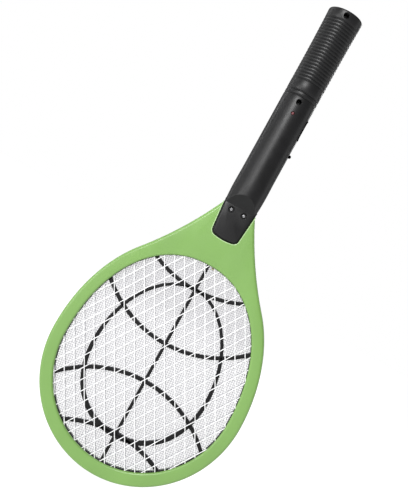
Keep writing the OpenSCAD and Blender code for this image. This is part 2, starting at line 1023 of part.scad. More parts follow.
// Each route is a list of places in X, Y and height
battery_route = [
    [9, -1.6, 417.6], [9, -1.6, 411], [9.3, -1.2, 403], [9, 0.6, 397], [9, 2.4, 394.5], [9, 3.6, 393.7]
];
net_route = [
    [3.5, 3.6, 315], [3.4, 2.4, 313.2], [2.8, 0.9, 310], [1.9, 0, 304], [1.9, 0, 260], [1.9, 0, 234]
];
live_end = [[2.1, 0.3, 231], [2.8, 0.9, 229.95], [3.9, 0.95, 229.9]];
guard_end = [[2.1, 0, 231], [3, 0, 229.95], [4.4, 0, 229.95]];

module battery_lead_positive() {
    color("red") from_rim() wire([for (p = battery_route) [-p.x, p.y, p.z]], 0.6, [1, 0, 0]);
}

module battery_lead_negative() {
    color(black) from_rim() wire(battery_route, 0.6, [1, 0, 0]);
}

module live_net_lead() {
    color("red") from_rim() wire(concat(net_route, live_end), 0.55, [0, 1, 0.2]);
}

module guard_net_lead() {
    color(black) from_rim()
        wire([for (p = concat(net_route, guard_end)) [-p.x, p.y, p.z]], 0.55, [0, 1, 0.2]);
}

// ---- Screws ----

// A pan-head screw driven along +Y, its head's underside at depth 0
module screw(head_radius, head_height, long) {
    difference() {
        rod_y(0, 0, head_radius, -head_height, 0);
        for (turn = [0, 90])
            rotate([0, turn, 0])
                translate([-head_radius * 0.6, -head_height - 1, -0.35])
                    cube([head_radius * 1.2, head_height * 0.6 + 1, 0.7]);
    }
    rod_y(0, 0, shank_radius, -0.2, long);
}

module neck_screws() {
    color(silver) from_rim()
        at_neck_screws()
            translate([0, neck_recess[1] - tongue_depth[1], 0])
                screw(neck_head[0], neck_head[1], 10);
}

module handle_screws() {
    color(silver) from_rim()
        for (h = [mid_screw_height, end_screw_height])
            translate([0, -screw_seat, h]) screw(handle_head[0], handle_head[1], 19);
}

head_frame_front();
head_frame_rear();
front_guard_net();
front_spacer_ribs();
live_net();
rear_spacer_ribs();
rear_guard_net();
ground_contact_strip();
live_contact_strip();
handle_front_shell();
handle_rear_shell();
battery_cover();
thumb_button();
push_switch_body();
push_switch_plunger();
power_switch_body();
power_switch_knob();
indicator_led();
led_leads();
circuit_board();
board_screws();
transformer_core();
transformer_bobbin();
transformer_winding();
storage_capacitor();
doubler_capacitors();
oscillator_transistor();
rectifier_diodes();
board_resistors();
battery_cell_left();
battery_cell_right();
battery_springs();
bridge_contact();
negative_contact();
positive_contact();
battery_lead_positive();
battery_lead_negative();
live_net_lead();
guard_net_lead();
neck_screws();
handle_screws();
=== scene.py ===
"""Electric fly swatter: the surfaces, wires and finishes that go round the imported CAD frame.

Sizes are in millimetres. Heights are measured up from the bottom of the head's rim, along the
handle. The face that carries the screws looks along -Y and the thumb button is on +X.
"""

import logging
import math
import random
from dataclasses import dataclass, field
from enum import Enum
from typing import Callable, Iterable, Sequence

import bmesh
import bpy
import numpy as np
from mathutils import Matrix, Vector


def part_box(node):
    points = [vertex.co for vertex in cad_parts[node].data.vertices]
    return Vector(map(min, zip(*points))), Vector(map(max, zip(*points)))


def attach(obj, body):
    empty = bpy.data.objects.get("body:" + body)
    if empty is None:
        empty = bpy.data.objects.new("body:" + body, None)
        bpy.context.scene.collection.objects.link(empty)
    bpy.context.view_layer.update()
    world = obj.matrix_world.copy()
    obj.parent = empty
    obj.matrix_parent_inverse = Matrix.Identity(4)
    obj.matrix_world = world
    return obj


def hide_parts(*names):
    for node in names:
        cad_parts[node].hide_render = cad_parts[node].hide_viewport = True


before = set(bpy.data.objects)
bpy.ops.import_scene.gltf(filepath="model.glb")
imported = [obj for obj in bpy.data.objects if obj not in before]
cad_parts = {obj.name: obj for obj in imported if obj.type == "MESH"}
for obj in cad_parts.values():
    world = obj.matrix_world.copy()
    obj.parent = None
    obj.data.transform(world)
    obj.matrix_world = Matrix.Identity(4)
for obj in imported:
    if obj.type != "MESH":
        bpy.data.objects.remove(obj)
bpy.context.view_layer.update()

MM = 0.001  # one millimetre in Blender's metres
RIM_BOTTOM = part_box("head_frame_front")[0].z / MM
ROOT_BODY = "swatter"

log = logging.getLogger("swatter")

Pair = tuple[float, float]
Triple = tuple[float, float, float]
Colour = Triple

WHOLE: Pair = (0.0, 1.0)
COMMON: Pair = (0.3, 0.7)  # the part of its range in which most of a noise lies


class Side(Enum):
    """The two faces of the swatter, as signs along Y."""

    FRONT = -1
    REAR = 1


# ---------------------------------------------------------------------------
# Finishes
# ---------------------------------------------------------------------------


class Graph:
    """A small helper that adds nodes to one material and links them."""

    def __init__(self, name: str) -> None:
        """Start a material with one Principled shader.

        Args:
            name: The material's name.
        """
        self.material = bpy.data.materials.new(name)
        self.material.use_nodes = True
        self.nodes = self.material.node_tree.nodes
        self.links = self.material.node_tree.links
        self.shader = self.nodes["Principled BSDF"]
        self.place = self.add("ShaderNodeTexCoord").outputs["Object"]

    def add(self, kind: str, **values: object) -> bpy.types.Node:
        """Add a node and set its input sockets.

        Args:
            kind: The node's type name.
            **values: Values or sockets for its inputs, with spaces written as underscores.

        Returns:
            The new node.
        """
        node = self.nodes.new(kind)
        for key, value in values.items():
            self.feed(node.inputs[key.replace("_", " ")], value)
        return node

    def feed(self, socket: bpy.types.NodeSocket, value: object) -> None:
        """Link a socket into an input, or set the input's own value.

        Args:
            socket: The input.
            value: A socket to link, or the value to set.
        """
        if isinstance(value, bpy.types.NodeSocket):
            self.links.new(value, socket)
        else:
            socket.default_value = value

    def noise(self, size: float, detail: float = 3.0,
              stretch: Triple = (1, 1, 1)) -> bpy.types.NodeSocket:
        """Give a noise pattern between 0 and 1.

        Args:
            size: The pattern's size in millimetres.
            detail: How many finer layers it has.
            stretch: How much denser it is along each axis.

        Returns:
            The noise's value socket.
        """
        place = self.add("ShaderNodeMapping", Vector=self.place, Scale=stretch).outputs[0]
        noise = self.add("ShaderNodeTexNoise", Vector=place, Scale=1 / (size * MM), Detail=detail)
        return noise.outputs[0]

    def remap(self, value: bpy.types.NodeSocket, source: Pair, target: Pair) -> bpy.types.NodeSocket:
        """Stretch a value from one range to another and clamp it.

        Args:
            value: The socket whose value is stretched.
            source: The range that it comes from.
            target: The range that it goes to.

        Returns:
            The stretched value's socket.
        """
        node = self.add("ShaderNodeMapRange", Value=value)
        for key, number in zip(("From Min", "From Max", "To Min", "To Max"), (*source, *target)):
            node.inputs[key].default_value = number
        return node.outputs[0]

    def blend(self, factor: object, low: object, high: object) -> bpy.types.NodeSocket:
        """Mix two colours.

        Args:
            factor: 0 for the low colour and 1 for the high one.
            low: The first colour, as three numbers or a socket.
            high: The second colour.

        Returns:
            The mixed colour's socket.
        """
        node = self.nodes.new("ShaderNodeMix")
        node.data_type = "RGBA"
        self.feed(node.inputs["Factor"], factor)
        for socket, colour in ((node.inputs[6], low), (node.inputs[7], high)):
            self.feed(socket, colour if isinstance(colour, bpy.types.NodeSocket) else (*colour, 1.0))
        return node.outputs[2]

    def relief(self, height: bpy.types.NodeSocket, depth: float, strength: float,
               rounding: float = 0.0) -> None:
        """Drive the shader's normal by a height pattern.

        Args:
            height: The pattern, between 0 and 1.
            depth: Its full height in millimetres.
            strength: How much of it shows.
            rounding: Radius in millimetres by which edges are shaded round.
        """
        bump = self.add("ShaderNodeBump", Strength=strength, Distance=depth * MM, Height=height)
        if rounding:
            edge = self.add("ShaderNodeBevel", Radius=rounding * MM)
            edge.samples = 4
            self.links.new(edge.outputs[0], bump.inputs["Normal"])
        self.links.new(bump.outputs[0], self.shader.inputs["Normal"])

    def set(self, **values: object) -> None:
        """Set the shader's own inputs.

        Args:
            **values: Values or sockets, with spaces in an input's name written as underscores.
        """
        for key, value in values.items():
            self.feed(self.shader.inputs[key.replace("_", " ")], value)


def shade(colour: Colour, amount: float) -> Colour:
    """Scale a colour's brightness and clamp it to 1."""
    return tuple(min(1.0, c * amount) for c in colour)


@dataclass(frozen=True)
class Moulding:
    """Injection-moulded plastic with a fine eroded grain and slight colour drift."""

    name: str
    colour: Colour
    roughness: float = 0.45
    drift: float = 0.06
    grain: float = 0.35
    depth: float = 0.02
    scuffs: float = 0.08
    rounding: float = 0.25
    coat: float = 0.0
    specular: float = 0.5
    flow_size: float = 38.0
    patch_size: float = 9.0
    rub_size: float = 2.2
    rub_range: Pair = (0.62, 0.78)
    rub_strength: float = 4.375
    rub_paler: float = 1.12
    coat_roughness: float = 0.12
    relief: float = 0.35

    def build(self) -> bpy.types.Material:
        """Make the material.

        Returns:
            The material, with flow marks, grain and faint scuffs.
        """
        g = Graph(self.name)
        flow = g.remap(g.noise(self.flow_size, 2.0, (1, 1, 0.4)), COMMON, WHOLE)
        base = g.blend(flow, shade(self.colour, 1 - self.drift), shade(self.colour, 1 + self.drift))
        rubbed = g.remap(g.noise(self.rub_size, 6.0, (1, 1, 0.25)), self.rub_range,
                         (0, self.rub_strength * self.scuffs))
        rough = (self.roughness - self.scuffs, self.roughness + self.scuffs)
        g.set(
            Base_Color=g.blend(rubbed, base, shade(self.colour, self.rub_paler)),
            Roughness=g.remap(g.noise(self.patch_size, 4.0), COMMON, rough),
            Coat_Weight=self.coat,
            Coat_Roughness=self.coat_roughness,
            Specular_IOR_Level=self.specular,
        )
        g.relief(g.noise(self.grain, 2.0), self.depth, self.relief, self.rounding)
        return g.material


@dataclass(frozen=True)
class PlatedWire:
    """Bright plated wire or strip, drawn along its length and slightly dulled in places."""

    name: str
    colour: Colour = (0.86, 0.86, 0.87)
    roughness: float = 0.28
    metal: float = 1.0
    tarnish: float = 0.12
    grain: float = 0.5
    dull_size: float = 6.0
    dull_range: Pair = (0.35, 0.75)
    dull_roughness: float = 0.14
    mark_depth: float = 0.01
    relief: float = 0.4

    def build(self) -> bpy.types.Material:
        """Make the material.

        Returns:
            The material, with drawing marks and tarnish.
        """
        g = Graph(self.name)
        dull = g.remap(g.noise(self.dull_size, 4.0), self.dull_range, WHOLE)
        g.set(
            Base_Color=g.blend(dull, self.colour, shade(self.colour, 1 - self.tarnish)),
            Roughness=g.remap(dull, WHOLE, (self.roughness, self.roughness + self.dull_roughness)),
            Metallic=self.metal,
        )
        g.relief(g.noise(self.grain, 3.0, (1, 1, 0.3)), self.mark_depth, self.relief)
        return g.material


@dataclass(frozen=True)
class Lens:
    """Clear tinted lens of a small lamp."""

    name: str
    colour: Colour
    roughness: float = 0.14
    clearness: float = 0.15
    coat: float = 0.6
    cloud_size: float = 0.8
    cloud_shade: float = 0.7
    ripple_size: float = 0.5
    ripple_depth: float = 0.005
    relief: float = 0.2

    def build(self) -> bpy.types.Material:
        """Make the material.

        Returns:
            The material, slightly cloudy inside.
        """
        g = Graph(self.name)
        cloud = g.remap(g.noise(self.cloud_size), COMMON, WHOLE)
        g.set(
            Base_Color=g.blend(cloud, self.colour, shade(self.colour, self.cloud_shade)),
            Roughness=self.roughness,
            Transmission_Weight=self.clearness,
            Coat_Weight=self.coat,
        )
        g.relief(g.noise(self.ripple_size, 2.0), self.ripple_depth, self.relief)
        return g.material


@dataclass(frozen=True)
class Banded:
    """A finish in bands across one direction, such as windings, colour rings or a cell's jacket."""

    name: str
    colour: Colour
    band: Colour
    pitch: float
    share: float = 0.5
    metal: float = 0.0
    roughness: float = 0.4
    ridges: float = 0.0
    axis: str = "Z"
    blur: float = 0.03
    wear_size: float = 3.0
    wear: Pair = (0.9, 1.06)
    patch_size: float = 5.0
    scuffs: float = 0.08
    relief: float = 0.8

    def build(self) -> bpy.types.Material:
        """Make the material.

        Returns:
            The material, with bands of the given pitch in millimetres.
        """
        g = Graph(self.name)
        split = g.add("ShaderNodeSeparateXYZ", Vector=g.place).outputs[self.axis]
        turns = g.add("ShaderNodeMath")
        turns.operation = "MULTIPLY"
        g.feed(turns.inputs[0], split)
        turns.inputs[1].default_value = 1 / (self.pitch * MM)
        part = g.add("ShaderNodeMath")
        part.operation = "FRACT"
        g.feed(part.inputs[0], turns.outputs[0])
        edge = g.remap(part.outputs[0], (self.share - self.blur, self.share + self.blur), WHOLE)
        worn = g.blend(g.noise(self.wear_size, 4.0), *(shade(self.colour, k) for k in self.wear))
        rough = (self.roughness - self.scuffs, self.roughness + self.scuffs)
        g.set(
            Base_Color=g.blend(edge, worn, self.band),
            Roughness=g.remap(g.noise(self.patch_size), COMMON, rough),
            Metallic=self.metal,
        )
        wave = g.add("ShaderNodeMath")
        wave.operation = "PINGPONG"
        g.feed(wave.inputs[0], part.outputs[0])
        wave.inputs[1].default_value = 0.5
        g.relief(wave.outputs[0], self.ridges, self.relief if self.ridges else 0.0)
        return g.material


@dataclass(frozen=True)
class PrintedBoard:
    """Solder mask over copper tracks."""

    name: str
    mask: Colour = (0.02, 0.13, 0.05)
    track: Colour = (0.07, 0.27, 0.11)
    cell: float = 5.5
    line: Pair = (0.03, 0.06)
    roughness: Pair = (0.25, 0.4)
    patch_size: float = 4.0
    coat: float = 0.4
    thickness: float = 0.04
    relief: float = 0.6

    def build(self) -> bpy.types.Material:
        """Make the material.

        Returns:
            The material, with tracks as raised cells.
        """
        g = Graph(self.name)
        cells = g.nodes.new("ShaderNodeTexVoronoi")
        cells.feature = "DISTANCE_TO_EDGE"
        cells.distance = "EUCLIDEAN"
        g.feed(cells.inputs["Vector"], g.place)
        cells.inputs["Scale"].default_value = 1 / (self.cell * MM)
        gap = g.remap(cells.outputs[0], self.line, WHOLE)
        g.set(
            Base_Color=g.blend(gap, self.mask, self.track),
            Roughness=g.remap(g.noise(self.patch_size), COMMON, self.roughness),
            Coat_Weight=self.coat,
        )
        g.relief(gap, self.thickness, self.relief)
        return g.material


class Finishes:
    """Every finish of the swatter, built once and shared."""

    def __init__(self) -> None:
        """Build all the materials."""
        recipes = [
            Moulding("leaf_green", (0.176, 0.336, 0.082), 0.36, drift=0.05, grain=0.6, depth=0.012,
                     scuffs=0.06, rounding=0.35, coat=0.15),
            # A paler green for the bead round the tongue's pocket: a painted highlight along that edge.
            Moulding("edge_green", (0.41, 0.58, 0.30), 0.3, drift=0.05, grain=0.6, depth=0.012,
                     scuffs=0.06),
            Moulding("satin_black", (0.007, 0.007, 0.0075), 0.39, drift=0.12, grain=0.28,
                     scuffs=0.05, rounding=0.2, specular=0.32),
            Moulding("rib_black", (0.006, 0.006, 0.0065), 0.55, drift=0.1, grain=0.3, scuffs=0.05,
                     rounding=0.15, specular=0.2),
            # Black plastic drawn darker than the handle and almost without sheen: partly its own
            # colour, partly painted shade on the button and nub seen edge-on.
            Moulding("button_black", (0.003, 0.003, 0.003), 0.85, drift=0.1, grain=0.4, depth=0.01,
                     scuffs=0.05, rounding=0.2, specular=0.01),
            Moulding("off_white", (0.72, 0.70, 0.63), 0.4),
            Moulding("ferrite_grey", (0.06, 0.06, 0.065), 0.7, drift=0.2, grain=0.25, depth=0.05),
            Moulding("brown_coat", (0.26, 0.05, 0.025), 0.22, drift=0.1, grain=1.5, depth=0.05,
                     scuffs=0.05, rounding=0.6, coat=0.5),
            Moulding("orange_coat", (0.62, 0.24, 0.04), 0.25, drift=0.1, grain=1.2, depth=0.05,
                     scuffs=0.05, rounding=0.5, coat=0.5),
            Moulding("red_insulation", (0.48, 0.02, 0.015), 0.42, grain=0.6),
            Moulding("black_insulation", (0.018, 0.018, 0.0185), 0.42, grain=0.6),
            # Near-white and hardly metallic: the wire's colour is a painted reflection, standing in for
            # the bright sheen of plated wire.
            PlatedWire("guard_wire", (0.97, 0.97, 0.98), 0.34, metal=0.05, tarnish=0.03),
            PlatedWire("inner_wire", (0.33, 0.325, 0.36), 0.45, metal=0.3, grain=0.3),
            PlatedWire("contact_strip", (0.78, 0.66, 0.38), 0.3),
            PlatedWire("spring_steel", (0.72, 0.72, 0.73), 0.26),
            # Plated steel drawn darker than bright plating: partly painted shade, standing in for the
            # shade in the neck screws' recesses.
            PlatedWire("screw_plating", (0.42, 0.42, 0.43), 0.34),
            # Near-black steel for the deep handle screws: painted shade, standing in for the dark of
            # their deep holes.
            PlatedWire("screw_black", (0.05, 0.05, 0.052), 0.4, metal=0.6),
            Lens("red_lens", (0.21, 0.045, 0.055)),
            Banded("resistor_bands", (0.62, 0.47, 0.28), (0.20, 0.06, 0.03), 2.2, share=0.72),
            Banded("enamel_winding", (0.62, 0.26, 0.10), (0.42, 0.15, 0.05), 0.5, share=0.6,
                   metal=0.8, roughness=0.3, ridges=0.1),
            Banded("cell_jacket", (0.66, 0.50, 0.16), (0.03, 0.03, 0.035), 52.0, share=0.62,
                   metal=0.6, roughness=0.3),
            PrintedBoard("printed_board"),
        ]
        self.by_name = {recipe.name: recipe.build() for recipe in recipes}

    def __getitem__(self, name: str) -> bpy.types.Material:
        """Give a material by its name."""
        return self.by_name[name]


# ---------------------------------------------------------------------------
# Solids
# ---------------------------------------------------------------------------


@dataclass
class Solid:
    """Closed surfaces in millimetres that end up in one mesh."""

    points: np.ndarray
    faces: list[tuple[int, ...]]

    @classmethod
    def loft(cls, rings: Sequence[Sequence[Sequence[float]]], loop: bool = False) -> "Solid":
        """Skin a row of closed rings that all have the same number of points.

        Args:
            rings: The rings, each a list of X, Y and height.
            loop: True if the last ring joins the first, else both ends are capped.

        Returns:
            The closed solid.
        """
        grid = np.asarray(rings, float)
        count, sides = grid.shape[:2]
        faces = []
        for i in range(count if loop else count - 1):
            a, b = i * sides, ((i + 1) % count) * sides
            for k in range(sides):
                n = (k + 1) % sides
                faces.append((a + k, a + n, b + n, b + k))
        if not loop:
            faces.append(tuple(reversed(range(sides))))
            faces.append(tuple(range((count - 1) * sides, count * sides)))
        return cls(grid.reshape(-1, 3), faces)

    def __add__(self, other: "Solid") -> "Solid":
        """Put two solids side by side in one mesh.

        Args:
            other: The solid that is added.

        Returns:
            Both solids as one.
        """
        shift = len(self.points)
        moved = [tuple(i + shift for i in face) for face in other.faces]
        return Solid(np.vstack([self.points, other.points]), self.faces + moved)

    def flipped(self, x: bool = False, y: bool = False) -> "Solid":
        """Mirror the solid across the middle planes.

        Args:
            x: Swap left and right.
            y: Swap front and rear.

        Returns:
            The mirrored copy.
        """
        signs = np.array([-1 if x else 1, -1 if y else 1, 1])
        faces = self.faces if x == y else [tuple(reversed(f)) for f in self.faces]
        return Solid(self.points * signs, list(faces))

    def mesh(self, name: str) -> bpy.types.Mesh:
        """Turn the solid into a Blender mesh in metres with outward normals.

        Args:
            name: The mesh's name.

        Returns:
            The new mesh.
        """
        data = bpy.data.meshes.new(name)
        placed = (self.points + np.array([0, 0, RIM_BOTTOM])) * MM
        data.from_pydata(placed.tolist(), [], self.faces)
        work = bmesh.new()
        work.from_mesh(data)
        bmesh.ops.remove_doubles(work, verts=work.verts, dist=0.002 * MM)
        bmesh.ops.dissolve_degenerate(work, edges=work.edges, dist=0.0005 * MM)
        bmesh.ops.recalc_face_normals(work, faces=work.faces)
        work.to_mesh(data)
        work.free()
        return data

    def carved(self, *cutters: "Solid") -> "Solid":
        """Cut other solids out of this one.

        Args:
            *cutters: What is taken away, each one closed.

        Returns:
            What is left.
        """
        body = bpy.data.objects.new("work_body", self.mesh("work_body"))
        bpy.context.scene.collection.objects.link(body)
        tools = []
        for cutter in cutters:
            tool = bpy.data.objects.new("work_tool", cutter.mesh("work_tool"))
            bpy.context.scene.collection.objects.link(tool)
            step = body.modifiers.new("cut", "BOOLEAN")
            step.operation, step.solver, step.object = "DIFFERENCE", "MANIFOLD", tool
            tools.append(tool)
        shaped = body.evaluated_get(bpy.context.evaluated_depsgraph_get()).to_mesh()
        points = np.array([v.co for v in shaped.vertices]) / MM - np.array([0, 0, RIM_BOTTOM])
        faces = [tuple(p.vertices) for p in shaped.polygons]
        for item in (body, *tools):
            data = item.data
            bpy.data.objects.remove(item)
            bpy.data.meshes.remove(data)
        return Solid(points, faces)

    def piece(self, name: str, material: bpy.types.Material, slot: str, node: str = "",
              body: str = ROOT_BODY, crease: float = 34.0) -> bpy.types.Object:
        """Make a visible piece, which may stand for a CAD node.

        Args:
            name: The piece's name.
            material: Its finish.
            slot: The record's material slot; not used.
            node: The CAD node that it replaces, if any.
            body: The body that it rides on.
            crease: The angle in degrees above which an edge stays sharp.

        Returns:
            The new object.
        """
        data = self.mesh(name)
        data.polygons.foreach_set("use_smooth", [True] * len(data.polygons))
        data.set_sharp_from_angle(angle=math.radians(crease))
        data.materials.append(material)
        item = bpy.data.objects.new(name, data)
        bpy.context.scene.collection.objects.link(item)
        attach(item, body)
        if node:
            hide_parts(node)
        log.info("built %s with %d faces", name, len(data.polygons))
        return item


def arc(start: float, stop: float, steps: int) -> list[float]:
    """List angles in radians from start to stop, given in degrees, both ends included."""
    return [math.radians(start + (stop - start) * i / steps) for i in range(steps + 1)]


def rounded_box(half_y: float, half_h: float, corner: float, steps: int = 6) -> list[Pair]:
    """Make a rectangle with round corners about its middle.

    Args:
        half_y: Half its depth.
        half_h: Half its height.
        corner: The radius of its corners.
        steps: How many stretches a corner has.

    Returns:
        Pairs of depth and height.
    """
    centres = ((1, 1, 0), (-1, 1, 90), (-1, -1, 180), (1, -1, 270))
    return [
        (sy * (half_y - corner) + corner * math.cos(a), sh * (half_h - corner) + corner * math.sin(a))
        for sy, sh, start in centres for a in arc(start, start + 90, steps)
    ]


def turned(profile: Sequence[Pair], x: float, height: float, steps: int = 32) -> Solid:
    """Turn a profile round an axis that runs along Y.

    Args:
        profile: Pairs of radius and depth along Y, from one end of the axis to the other.
        x: Where the axis is from side to side.
        height: How high the axis is.
        steps: How many flats the turned surface has.

    Returns:
        The closed solid.
    """
    rings = []
    for radius, depth in profile:
        rings.append([
            (x + radius * math.cos(a), depth, height + radius * math.sin(a))
            for a in arc(0, 360 * (steps - 1) / steps, steps - 1)
        ])
    return Solid.loft(rings)


def sweep(path: np.ndarray, normals: np.ndarray, section: Sequence[Pair], loop: bool) -> Solid:
    """Run a section along a path that lies in the swatter's plane.

    Args:
        path: Points as X and height.
        normals: The path's sideways directions, as X and height.
        section: Pairs of a sideways offset and a depth along Y.
        loop: True if the path closes on itself.

    Returns:
        The closed solid.
    """
    rings = [
        [(p[0] + n[0] * side, depth, p[1] + n[1] * side) for side, depth in section]
        for p, n in zip(path, normals)
    ]
    return Solid.loft(rings, loop)


def path_normals(path: np.ndarray, loop: bool) -> np.ndarray:
    """Give the unit normals to the right of a path in X and height.

    Args:
        path: Points as X and height.
        loop: True if the path closes on itself.

    Returns:
        One unit normal for each point.
    """
    if loop:
        step = np.roll(path, -1, 0) - np.roll(path, 1, 0)
    else:
        step = np.gradient(path, axis=0)
    normals = np.stack([step[:, 1], -step[:, 0]], 1)
    return normals / np.linalg.norm(normals, axis=1, keepdims=True)


def wire_tube(start: Vector, stop: Vector, radius: float, wobble: float, seed: random.Random,
              sides: int = 8, pieces: int = 10) -> Solid:
    """Make a nearly straight wire.

    Args:
        start: One end, as X, Y and height.
        stop: The other end.
        radius: The wire's radius.
        wobble: How far it strays from straight.
        seed: The source of the strays.
        sides: How many flats it has round.
        pieces: How many stretches it has.

    Returns:
        The closed wire.
    """
    along = (stop - start).normalized()
    across = along.cross(Vector((0, 1, 0))).normalized()
    depth = across.cross(along)
    rings = []
    for i in range(pieces + 1):
        centre = start.lerp(stop, i / pieces)
        if 0 < i < pieces:
            centre = centre + across * seed.uniform(-wobble, wobble)
        rings.append([
            tuple(centre + radius * (math.cos(a) * across + math.sin(a) * depth))
            for a in arc(0, 360 * (sides - 1) / sides, sides - 1)
        ])
    return Solid.loft(rings)


# ---------------------------------------------------------------------------
# Head
# ---------------------------------------------------------------------------


@dataclass
class HeadOutline:
    """The teardrop's outer edge and its egg-shaped opening."""

    half_width: float = 101.7
    widest: float = 106.0
    upper_reach: float = 140.0
    shoulder: float = 212.0
    shoulder_radius: float = 360.0
    neck: float = 289.0
    opening_half_width: float = 88.6
    opening_middle: float = 105.0
    opening_down: float = 91.0
    opening_up: float = 123.0
    opening_power: float = 2.15
    quarter: int = 90
    ellipse_share: float = 4 / 9
    arc_share: float = 5 / 6

    def __post_init__(self) -> None:
        """Work out where the hollow shoulder starts and ends."""
        self.start_angle = math.asin((self.shoulder - self.widest) / self.upper_reach)
        x = self.half_width * math.cos(self.start_angle)
        self.start_tilt = math.atan(self.half_width * math.tan(self.start_angle) / self.upper_reach)
        self.centre = (
            x + self.shoulder_radius * math.cos(self.start_tilt),
            self.shoulder + self.shoulder_radius * math.sin(self.start_tilt),
        )
        self.end_tilt = math.asin((self.centre[1] - self.neck) / self.shoulder_radius)
        self.neck_half = self.centre[0] - self.shoulder_radius * math.cos(self.end_tilt)

    def outer_upper(self, u: float) -> Pair:
        """Give a point of the right upper edge, from the widest place at 0 to the neck at 1.

        Args:
            u: How far along the edge the point is, from 0 to 1.

        Returns:
            The point as X and height.
        """
        if u <= self.ellipse_share:
            a = self.start_angle * u / self.ellipse_share
            return self.half_width * math.cos(a), self.widest + self.upper_reach * math.sin(a)
        if u <= self.arc_share:
            s = (u - self.ellipse_share) / (self.arc_share - self.ellipse_share)
            a = self.start_tilt + (self.end_tilt - self.start_tilt) * s
            r = self.shoulder_radius
            return self.centre[0] - r * math.cos(a), self.centre[1] - r * math.sin(a)
        return self.neck_half * (1 - u) / (1 - self.arc_share), self.neck

    def opening_upper(self, u: float) -> Pair:
        """Give a point of the opening's right upper edge, from its widest place to its top.

        Args:
            u: How far along the edge the point is, from 0 to 1.

        Returns:
            The point as X and height.
        """
        power = 2 / self.opening_power
        a = math.pi / 2 * u
        return (
            self.opening_half_width * max(0.0, math.cos(a)) ** power,
            self.opening_middle + self.opening_up * math.sin(a) ** power,
        )

    def _closed(self, upper: Callable[[float], Pair], width: float, middle: float,
                down: float) -> np.ndarray:
        """Complete an upper quarter with its mirror image and a lower half ellipse.

        Args:
            upper: Gives a point of the right upper edge for a share from 0 to 1.
            width: Half the width at the widest place.
            middle: The height of the widest place.
            down: How far the outline reaches below it.

        Returns:
            The closed outline.
        """
        q = self.quarter
        right = [upper(i / q) for i in range(q + 1)]
        left = [(-x, h) for x, h in reversed(right[:-1])]
        low = [(width * math.cos(a), middle + down * math.sin(a)) for a in arc(180, 360, 2 * q)[1:-1]]
        return np.array(right + left + low)

    def outer(self, move: float = 0.0) -> np.ndarray:
        """Give the closed outer outline, moved outwards by a distance.

        Args:
            move: How far it is moved.

        Returns:
            The outline as X and height.
        """
        path = self._closed(self.outer_upper, self.half_width, self.widest, self.widest)
        moved = path + move * path_normals(path, True)
        end = path[:, 1] > self.neck - 0.001
        moved[end, 0] = path[end, 0] * (1 + move / self.neck_half)
        moved[end, 1] = self.neck
        return moved

    def opening(self, move: float = 0.0) -> np.ndarray:
        """Give the closed outline of the opening, moved outwards by a distance.

        Args:
            move: How far it is moved.

        Returns:
            The outline as X and height.
        """
        path = self._closed(self.opening_upper, self.opening_half_width, self.opening_middle,
                            self.opening_down)
        return path + move * path_normals(path, True)

    def chord(self, point: Pair, direction: Pair, move: float) -> tuple[Pair, Pair] | None:
        """Clip a straight line to the opening.

        Args:
            point: A place on the line, as X and height.
            direction: The line's direction.
            move: How far the opening's outline is moved outwards first.

        Returns:
            The two ends inside the outline, or None if the line misses it.
        """
        loop = self.opening(move)
        d = np.array(direction)
        side = (loop - np.array(point)) @ np.array([-d[1], d[0]])
        nxt = np.roll(side, -1)
        hits = np.nonzero((side > 0) != (nxt > 0))[0]
        if len(hits) < 2:
            return None
        ends = []
        for i in hits[:2]:
            t = side[i] / (side[i] - nxt[i])
            ends.append(loop[i] + t * (loop[(i + 1) % len(loop)] - loop[i]))
        return tuple(ends[0]), tuple(ends[1])


@dataclass(frozen=True)
class PanScrew:
    """A pan-head screw with a cross recess, whose axis runs along Y.

    The seat is how far in front of the middle plane the head's underside is. The head field is
    the head's radius, rise is its height and long is the shank's length. The shank and core
    fields are the radii of the thread and of its valleys.
    """

    seat: float
    head: float
    rise: float
    long: float
    shank: float = 1.15
    core: float = 0.9
    tip: float = 0.6
    point: float = 1.5
    pitch: float = 1.1
    thread: Pair = (0.4, 0.7)  # where each thread's valley starts and ends
    plain: float = 0.1  # smooth shank between the point and the first thread
    rim: float = 0.35  # the head's straight rim as a share of its height
    centre: float = 0.3
    blade: Pair = (0.58, 0.34)  # an arm's half length, for a head of radius 1, and half width
    blade_scale: Pair = (0.55, 1.15)  # how much of that length it has at its floor and above
    blade_depth: float = 0.75  # its depth as a share of the head's height
    blade_past: float = 0.5
    turn: float = 20.0

    def solid(self, x: float, height: float) -> Solid:
        """Build the screw.

        Args:
            x: Its place from side to side.
            height: Its height.

        Returns:
            The screw.
        """
        end = -self.seat + self.long
        profile = [(self.tip, end), (self.shank, end - self.point)]
        for k in range(int(self.long / self.pitch) - 2):
            depth = end - self.point - self.plain - k * self.pitch
            profile.append((self.shank, depth))
            profile += [(self.core, depth - fall) for fall in self.thread]
        profile += [(self.shank, -self.seat), (self.head, -self.seat),
                    (self.head, -self.seat - self.rise * self.rim)]
        for a in arc(15, 75, 4):
            lift = self.rim + (1 - self.rim) * math.sin(a)
            profile.append((self.head * math.cos(a), -self.seat - self.rise * lift))
        profile.append((self.centre, -self.seat - self.rise))
        return turned(profile, x, height, 36).carved(
            self._slot(x, height, self.turn), self._slot(x, height, self.turn + 90))

    def _slot(self, x: float, height: float, turn: float) -> Solid:
        """Make one arm of the cross recess, wider at its mouth.

        Args:
            x: The screw's place from side to side.
            height: The screw's height.
            turn: The arm's direction in degrees.

        Returns:
            The solid to cut away.
        """
        a = math.radians(turn)
        along, across = (math.cos(a), math.sin(a)), (-math.sin(a), math.cos(a))
        length, half = self.blade[0] * self.head, self.blade[1]
        ring = [(u * length, v * half) for u, v in ((1, 1), (-1, 1), (-1, -1), (1, -1))]
        top = -self.seat - self.rise
        low, wide = self.blade_scale
        rings = []
        layers = ((top + self.rise * self.blade_depth, low), (top - self.blade_past, wide))
        for depth, scale in layers:
            rings.append([
                (x + scale * p * along[0] + q * across[0], depth,
                 height + scale * p * along[1] + q * across[1]) for p, q in ring])
        return Solid.loft(rings)


